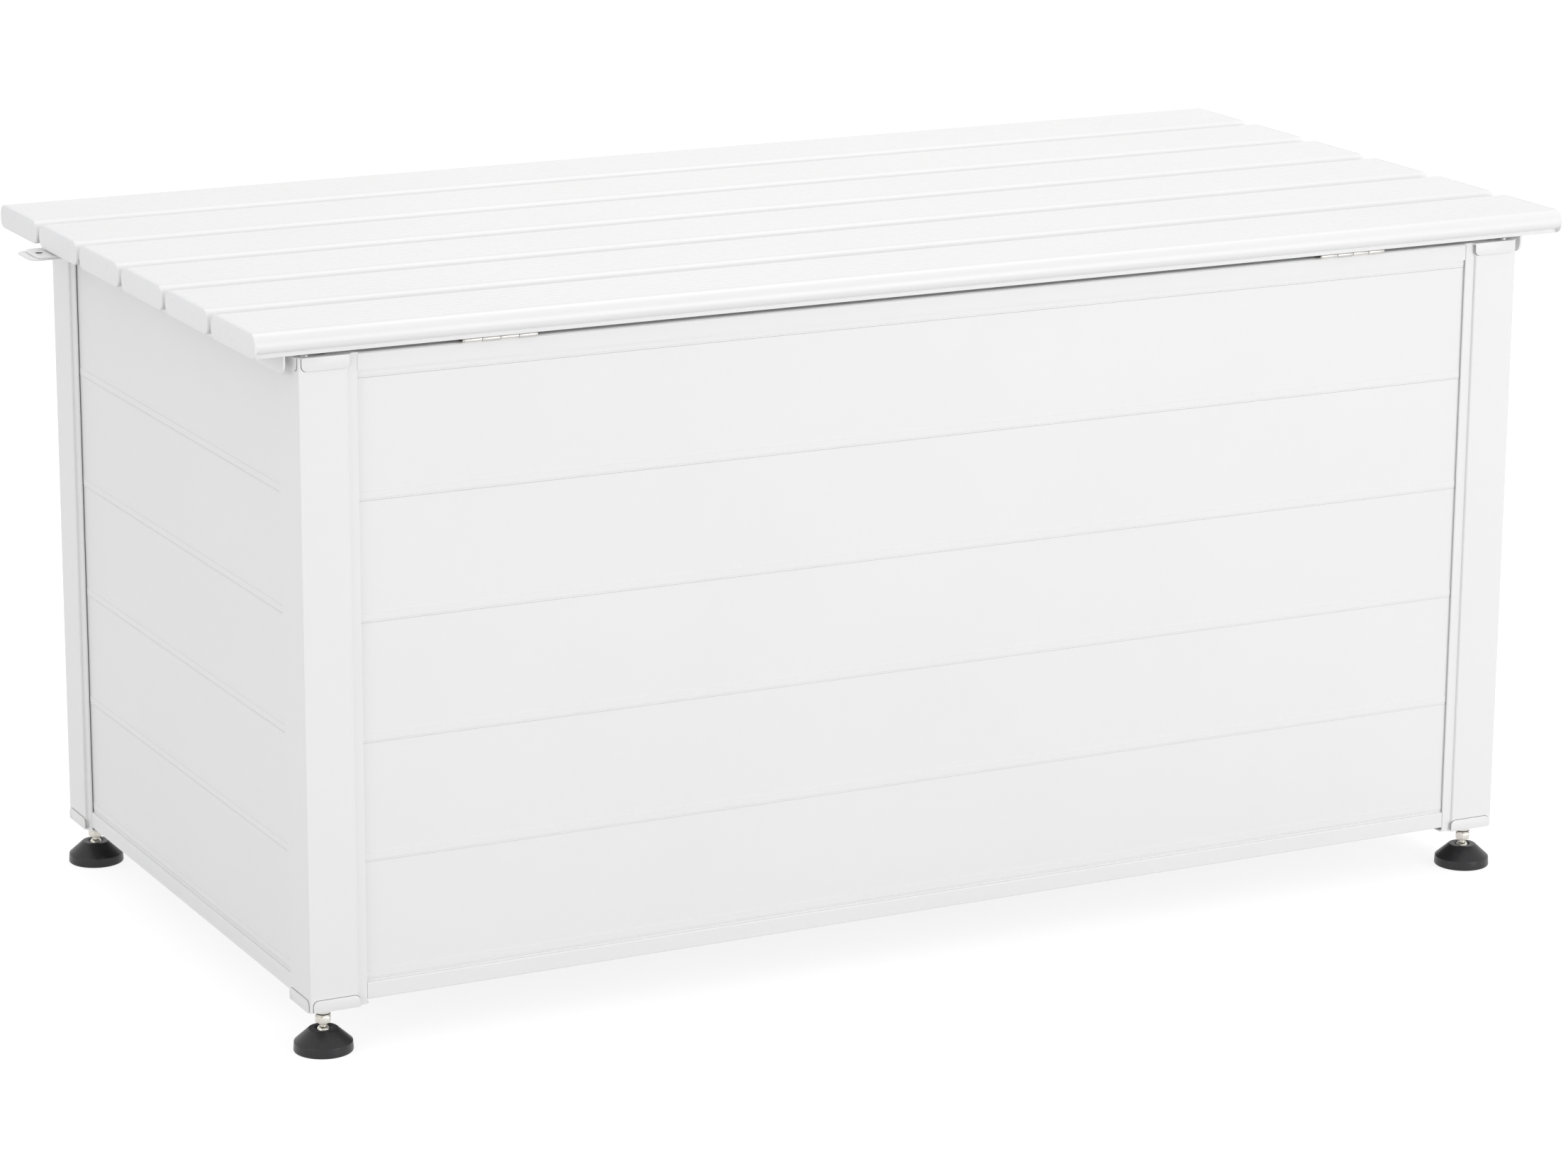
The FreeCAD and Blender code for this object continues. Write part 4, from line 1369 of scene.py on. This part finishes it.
@dataclass
class Feet:
    """Four levelling feet: pad, ball stud, nut, washer and the insert above them."""

    finishes: Finishes
    pad_height: float = 21.1 * MM
    pad_radius: float = 27.2 * MM
    shoulder_radius: float = 26.6 * MM
    shoulder_height: float = 8.9 * MM
    pad_top_radius: float = 13.2 * MM
    mouth_radius: float = 8.3 * MM
    mouth_depth: float = 1.8 * MM
    foot_round: float = 1.2 * MM
    shoulder_round: float = 0.9 * MM
    pad_top_round: float = 1.9 * MM
    mouth_round: float = 0.6 * MM
    grip_rings: int = 4
    grip_share: float = 0.86
    grip_slope: float = 0.2
    grip_depth: float = 0.5 * MM
    ball_radius: float = 6.5 * MM
    ball_height: float = 17.5 * MM
    ball_steps: int = 18
    socket_gap: float = 0.06 * MM
    socket_steps: int = 14
    neck_radius: float = 3.2 * MM
    neck_share: float = 1.04
    neck_rise: float = 0.9 * MM
    neck_round: float = 0.6 * MM
    flare_drop: float = 1.6 * MM
    flare_rise: float = 0.7 * MM
    flare_round: float = 0.8 * MM
    edge_round: float = 0.2 * MM
    tip_round: float = 0.3 * MM
    thread_start: float = 25.6 * MM
    thread_radius: float = 4.0 * MM
    thread_depth: float = 0.62 * MM
    thread_pitch: float = 1.25 * MM
    thread_turns: int = 30
    thread_steps: int = 24
    rib_sink: float = 0.1 * MM
    rib_half: float = 0.42
    rib_crest: float = 0.08
    nut_chamfer: float = 0.5 * MM
    nut_slope: float = 1.1
    nut_over: float = 0.3 * MM
    nut_edge: float = 0.12 * MM
    bore_gap: float = 0.05 * MM
    bore_flare: float = 0.5 * MM
    plain_washer: float = 1.3 * MM
    soft_washer_share: float = 0.94
    soft_washer_bulge: float = 0.4
    insert_edge: float = 0.45 * MM
    sides: int = 72

    def build(self) -> None:
        """Model each part once at the origin and copy it under the four posts."""
        pad = self.pad()
        stud = self.stud()
        for corner in CORNERS:
            node = "foot_pad_" + corner
            place = middle_of(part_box(node))
            place.z = 0.0
            twin = pad.copy("pad_moulded_" + corner).move(place)
            twin.dress("pad_" + corner, self.finishes["pad_moulding"], "pad_rubber", [node])
            node = "foot_stud_" + corner
            twin = stud.copy("ball_stud_" + corner).move(place)
            twin.dress("stud_" + corner, self.finishes["ball_nickel"], "bright_nickel", [node])
        pad.discard()
        stud.discard()
        self.rings()
        inserts = Piece.copy_of("foot_inserts_chamfered", "foot_inserts")
        inserts.soften(self.insert_edge, steps=3, angle=50.0)
        inserts.dress("box", self.finishes["nut_nickel"], "nickel_plate", ["foot_inserts"])

    def pad(self) -> Piece:
        """Model the moulded pad with its socket, soft shoulder and gripping foot.

        Returns:
            The pad, with its foot at the origin.
        """
        socket = self.ball_radius + self.socket_gap
        lip = self.pad_height - self.mouth_depth
        opening = math.sqrt(socket**2 - (lip - self.ball_height) ** 2)
        outline = [(0.0, 0.0, 0.0)]
        step = self.pad_radius * self.grip_share / (2 * self.grip_rings)
        for number in range(self.grip_rings):
            start = (2 * number + 1) * step
            outline += [
                (start, 0.0, 0.0),
                (start + step * self.grip_slope, self.grip_depth, 0.0),
                (start + step * (1 - self.grip_slope), self.grip_depth, 0.0),
                (start + step, 0.0, 0.0),
            ]
        outline += [
            (self.pad_radius, 0.0, self.foot_round),
            (self.shoulder_radius, self.shoulder_height, self.shoulder_round),
            (self.pad_top_radius, self.pad_height, self.pad_top_round),
            (self.mouth_radius, self.pad_height, self.mouth_round),
            (opening, lip, 0.0),
        ]
        points = rounded(outline, steps=6)
        start = math.atan2(lip - self.ball_height, opening)
        for number in range(1, self.socket_steps + 1):
            angle = start + (-math.pi / 2 - start) * number / self.socket_steps
            height = self.ball_height + socket * math.sin(angle)
            points.append((max(0.0, socket * math.cos(angle)), height))
        return Piece.turned("pad_master", points, self.sides)

    def stud(self) -> Piece:
        """Model the polished ball with its neck, and the thread above it.

        Returns:
            The stud, upright over the origin, with its ball at its height.
        """
        points = []
        last = math.acos(self.neck_radius * self.neck_share / self.ball_radius)
        for number in range(self.ball_steps + 1):
            angle = -math.pi / 2 + (last + math.pi / 2) * number / self.ball_steps
            height = self.ball_height + self.ball_radius * math.sin(angle)
            points.append((max(0.0, self.ball_radius * math.cos(angle)), height))
        neck_top = self.thread_start - self.flare_drop
        root = self.thread_radius - self.thread_depth
        top = self.thread_start + self.thread_pitch * (self.thread_turns + 1)
        rest = [
            (*points[-1], 0.0),
            (self.neck_radius, points[-1][1] + self.neck_rise, self.neck_round),
            (self.neck_radius, neck_top, self.flare_round),
            (self.thread_radius, neck_top + self.flare_rise, self.edge_round),
            (self.thread_radius, self.thread_start, self.edge_round),
            (root, self.thread_start, 0.0),
            (root, top, self.tip_round),
            (0.0, top, 0.0),
        ]
        body = Piece.turned("stud_master", points + rounded(rest)[1:])
        return body.join(self.thread())

    def thread(self) -> Piece:
        """Model the rolled thread as a helical rib sunk a little in the stud's core.

        Returns:
            The closed rib.
        """
        inside = self.thread_radius - self.thread_depth - self.rib_sink
        half = self.thread_pitch * self.rib_half
        crest = self.thread_pitch * self.rib_crest
        start = self.thread_start
        rib = [
            Vector((inside, 0.0, start)),
            Vector((self.thread_radius, 0.0, start + half - crest)),
            Vector((self.thread_radius, 0.0, start + half + crest)),
            Vector((inside, 0.0, start + 2 * half)),
        ]
        piece = Piece.chain("thread_master", rib + [rib[0]])
        piece.weld()
        piece.modify(
            "SCREW",
            axis="Z",
            angle=math.tau,
            screw_offset=self.thread_pitch,
            iterations=self.thread_turns,
            steps=self.thread_steps,
            render_steps=self.thread_steps,
            use_normal_calculate=True,
        )
        return piece.close()

    def rings(self) -> None:
        """Model the jam nuts and the soft washers above them."""
        for nodes, name, finish, slot, model in (
            ("foot_nuts", "jam_nut", "nut_nickel", "nickel_plate", self.nut),
            ("foot_washers", "soft_washer", "washer_moulding", "washer_rubber", self.washer),
        ):
            boxes = solids_of(nodes)
            master = model(boxes[0])
            for number, box in enumerate(boxes, 1):
                step = middle_of(box) - middle_of(boxes[0])
                twin = master.copy(f"{name}_{number}").move(step)
                twin.dress("box", self.finishes[finish], slot, [nodes])
            master.discard()

    def nut(self, box: Box) -> Piece:
        """Model a hexagon nut, chamfered and bored, with a plain washer on top.

        Args:
            box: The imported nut's box.

        Returns:
            The nut, in its place.
        """
        size = box[1] - box[0]
        height = size.z
        flats = min(size.x, size.y) / 2
        corner = flats / math.cos(math.pi / 6)
        middle = middle_of(box)
        place = Vector((0.0, 0.0, height / 2))
        nut = Piece.drum("nut_master", place, corner, height, Axis.Z, sides=6)
        nut.turn(-30.0, Axis.Z)
        # What the hexagon keeps is a turned ring. It reaches past both faces on the slopes
        # of its chamfers, so that no face of it lies in the plane of a face of the hexagon.
        rise = self.nut_chamfer * self.nut_slope
        edge = corner - self.nut_chamfer * (1 + 2 * self.nut_over / rise)
        brim = corner + self.nut_chamfer
        bore = self.thread_radius + self.bore_gap
        flare = bore + self.bore_flare + self.nut_over
        turned = [
            (bore, self.bore_flare, 0.0),
            (flare, -self.nut_over, 0.0),
            (edge, -self.nut_over, 0.0),
            (brim, rise, 0.0),
            (brim, height - rise, 0.0),
            (edge, height + self.nut_over, 0.0),
            (flare, height + self.nut_over, 0.0),
            (bore, height - self.bore_flare, 0.0),
            (bore, self.bore_flare, 0.0),
        ]
        nut.carve(Piece.turned("nut_turned", rounded(turned), self.sides), "INTERSECT")
        nut.weld().soften(self.nut_edge, angle=25.0)
        top = height + self.plain_washer
        ring = [
            (bore, height, 0.0),
            (flats, height, self.edge_round),
            (flats, top, self.edge_round),
            (bore, top, 0.0),
            (bore, height, 0.0),
        ]
        nut.join(Piece.turned("plain_washer", rounded(ring), self.sides))
        return nut.move(Vector((middle.x, middle.y, box[0].z)))

    def washer(self, box: Box) -> Piece:
        """Model a soft washer, squeezed so that its edge bulges.

        Args:
            box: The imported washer's box.

        Returns:
            The washer, in its place.
        """
        height = box[1].z - box[0].z - self.plain_washer
        radius = (box[1].x - box[0].x) / 2 * self.soft_washer_share
        bulge = height * self.soft_washer_bulge
        bore = self.thread_radius + self.bore_gap
        outline = [
            (bore, 0.0, 0.0),
            (radius, 0.0, bulge),
            (radius, height, bulge),
            (bore, height, 0.0),
            (bore, 0.0, 0.0),
        ]
        piece = Piece.turned("washer_master", rounded(outline), self.sides)
        middle = middle_of(box)
        return piece.move(Vector((middle.x, middle.y, box[1].z - height)))


# Extruded parts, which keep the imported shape


@dataclass
class Extrusions:
    """Posts, planks, rails and slats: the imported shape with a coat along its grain."""

    finishes: Finishes
    by_start: dict[str, str] = field(
        default_factory=lambda: {
            "post_": "coat_upright",
            "left_end": "coat_along_y",
            "right_end": "coat_along_y",
            "end_": "coat_along_y",
            "floor_bearers": "coat_along_y",
            "floor_panel": "floor_moulding",
        }
    )

    def build(self) -> None:
        """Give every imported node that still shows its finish."""
        for name, node in frame["nodes"].items():
            if node.hide_render:
                continue
            finish = "coat_along_x"
            for start, other in self.by_start.items():
                if name.startswith(start):
                    finish = other
            for slot in node.material_slots:
                slot.material = self.finishes[finish]
            log.info("%s keeps its shape, with %s", name, finish)


# Studio


@dataclass
class Lamp:
    """One soft rectangular lamp that looks at the box."""

    name: str
    place: tuple[float, float, float]
    size: float
    power: float
    colour: Colour = (1.0, 1.0, 1.0)
    target: tuple[float, float, float] = (0.0, 0.0, 0.35)

    def light(self) -> None:
        """Hang the lamp and aim it."""
        data = bpy.data.lights.new(self.name, "AREA")
        data.shape = "SQUARE"
        data.size = self.size
        data.energy = self.power
        data.color = self.colour
        item = bpy.data.objects.new(self.name, data)
        bpy.context.scene.collection.objects.link(item)
        item.location = self.place
        aim = Vector(self.target) - Vector(self.place)
        item.rotation_euler = aim.to_track_quat("-Z", "Y").to_euler()


@dataclass
class Camera:
    """The camera that saw the box, with its bearing and tip in degrees."""

    place: tuple[float, float, float] = (-2.1498, -4.2292, 1.5501)
    bearing: float = 27.112
    tip: float = 14.933
    roll: float = 0.363
    focal_pixels: float = 7002.6
    picture_width: float = 2212.0
    sensor: float = 36.0
    farthest: float = 100.0

    def build(self) -> None:
        """Set up the camera and make it the scene's."""
        data = bpy.data.cameras.new("photo_camera")
        data.sensor_width = self.sensor
        data.lens = self.focal_pixels / self.picture_width * self.sensor
        data.clip_end = self.farthest
        item = bpy.data.objects.new("photo_camera", data)
        bpy.context.scene.collection.objects.link(item)
        bearing, tip = math.radians(self.bearing), math.radians(self.tip)
        level = Vector((math.cos(bearing), -math.sin(bearing), 0.0))
        ahead = Vector(
            (
                math.sin(bearing) * math.cos(tip),
                math.cos(bearing) * math.cos(tip),
                -math.sin(tip),
            )
        )
        upright = level.cross(ahead)
        lean = math.radians(self.roll)
        right = level * math.cos(lean) + upright * math.sin(lean)
        above = upright * math.cos(lean) - level * math.sin(lean)
        turn = Matrix((right, above, -ahead)).transposed().to_4x4()
        item.matrix_world = Matrix.Translation(Vector(self.place)) @ turn
        bpy.context.scene.camera = item


@dataclass
class Studio:
    """A pale sweep of floor, white surroundings and soft lamps."""

    floor_radius: float = 40.0
    floor_sides: int = 96
    floor_grey: float = 0.64
    floor_glow: float = 0.84
    floor_catch: float = 0.26
    sky: Colour = (0.775, 0.775, 0.775)
    lamps: tuple[Lamp, ...] = (
        Lamp("front", (2.2, -5.0, 1.0), 2.4, 91.0, (0.99, 0.985, 1.0)),
        Lamp("left", (-4.4, -1.5, 1.4), 2.2, 28.5),
        Lamp("top", (1.4, 1.1, 4.3), 2.4, 40.0),
    )

    def build(self) -> None:
        """Lay the floor, set the surroundings and light the lamps."""
        bpy.context.scene.view_settings.view_transform = "Standard"
        self.floor()
        self.surroundings()
        for lamp in self.lamps:
            lamp.light()

    @staticmethod
    def seen(tree: Tree) -> Link:
        """Tell apart the rays that show the backdrop: camera, glossy and transmission rays.

        Args:
            tree: The tree of the floor or of the surroundings.

        Returns:
            1 for those rays and 0 for all others.
        """
        path = tree.node("ShaderNodeLightPath")
        names = ("Is Camera Ray", "Is Glossy Ray", "Is Transmission Ray")
        camera, glossy, through = (Link(tree, path.outputs[name]) for name in names)
        return (camera + glossy + through).above(level=0.5, width=0.5)

    def floor(self) -> None:
        """Lay a wide round floor that shows white and keeps the box's soft shadow."""
        clear_bench()
        bpy.ops.mesh.primitive_circle_add(
            vertices=self.floor_sides, radius=self.floor_radius, fill_type="NGON"
        )
        item = bpy.context.object
        item.name = "studio_floor"
        tree = new_tree("studio_floor", (1.0, 1.0, 1.0))

        def shader(kind: str, inputs: dict[Any, Any]) -> Link:
            """Add a shader node and return its output."""
            return Link(tree, tree.node(kind, None, inputs).outputs[0])

        plain = shader("ShaderNodeBsdfDiffuse", {"Color": (*(self.floor_grey,) * 3, 1.0)})
        catch = shader("ShaderNodeBsdfDiffuse", {"Color": (*(self.floor_catch,) * 3, 1.0)})
        glow = shader("ShaderNodeEmission", {"Strength": self.floor_glow})
        shown = shader("ShaderNodeAddShader", {0: catch, 1: glow})
        inputs = {0: self.seen(tree), 1: plain, 2: shown}
        item.data.materials.append(tree.surface(tree.node("ShaderNodeMixShader", None, inputs)))

    def surroundings(self) -> None:
        """Set surroundings that light the box softly and show as plain white."""
        world = bpy.data.worlds.new("studio")
        bpy.context.scene.world = world
        tree = Tree(world)
        colour = tree.blend(self.seen(tree), self.sky, (1.0, 1.0, 1.0))
        back = tree.node("ShaderNodeBackground", None, {"Color": colour, "Strength": 1.0})
        output = tree.node("ShaderNodeOutputWorld")
        tree.links.new(back.outputs[0], output.inputs["Surface"])


def main() -> None:
    """Build the box's looks and the studio, in order."""
    logging.basicConfig(level=logging.INFO, format="%(message)s")
    finishes = Finishes()
    for assembly in (
        SlatEndCaps(finishes),
        Pressings(finishes),
        Hinges(finishes),
        Fasteners(finishes),
        Feet(finishes),
        Extrusions(finishes),
        Studio(),
        Camera(),
    ):
        assembly.build()
        log.info("%s done", type(assembly).__name__)
    clear_bench()


if __name__ == "__main__":
    main()
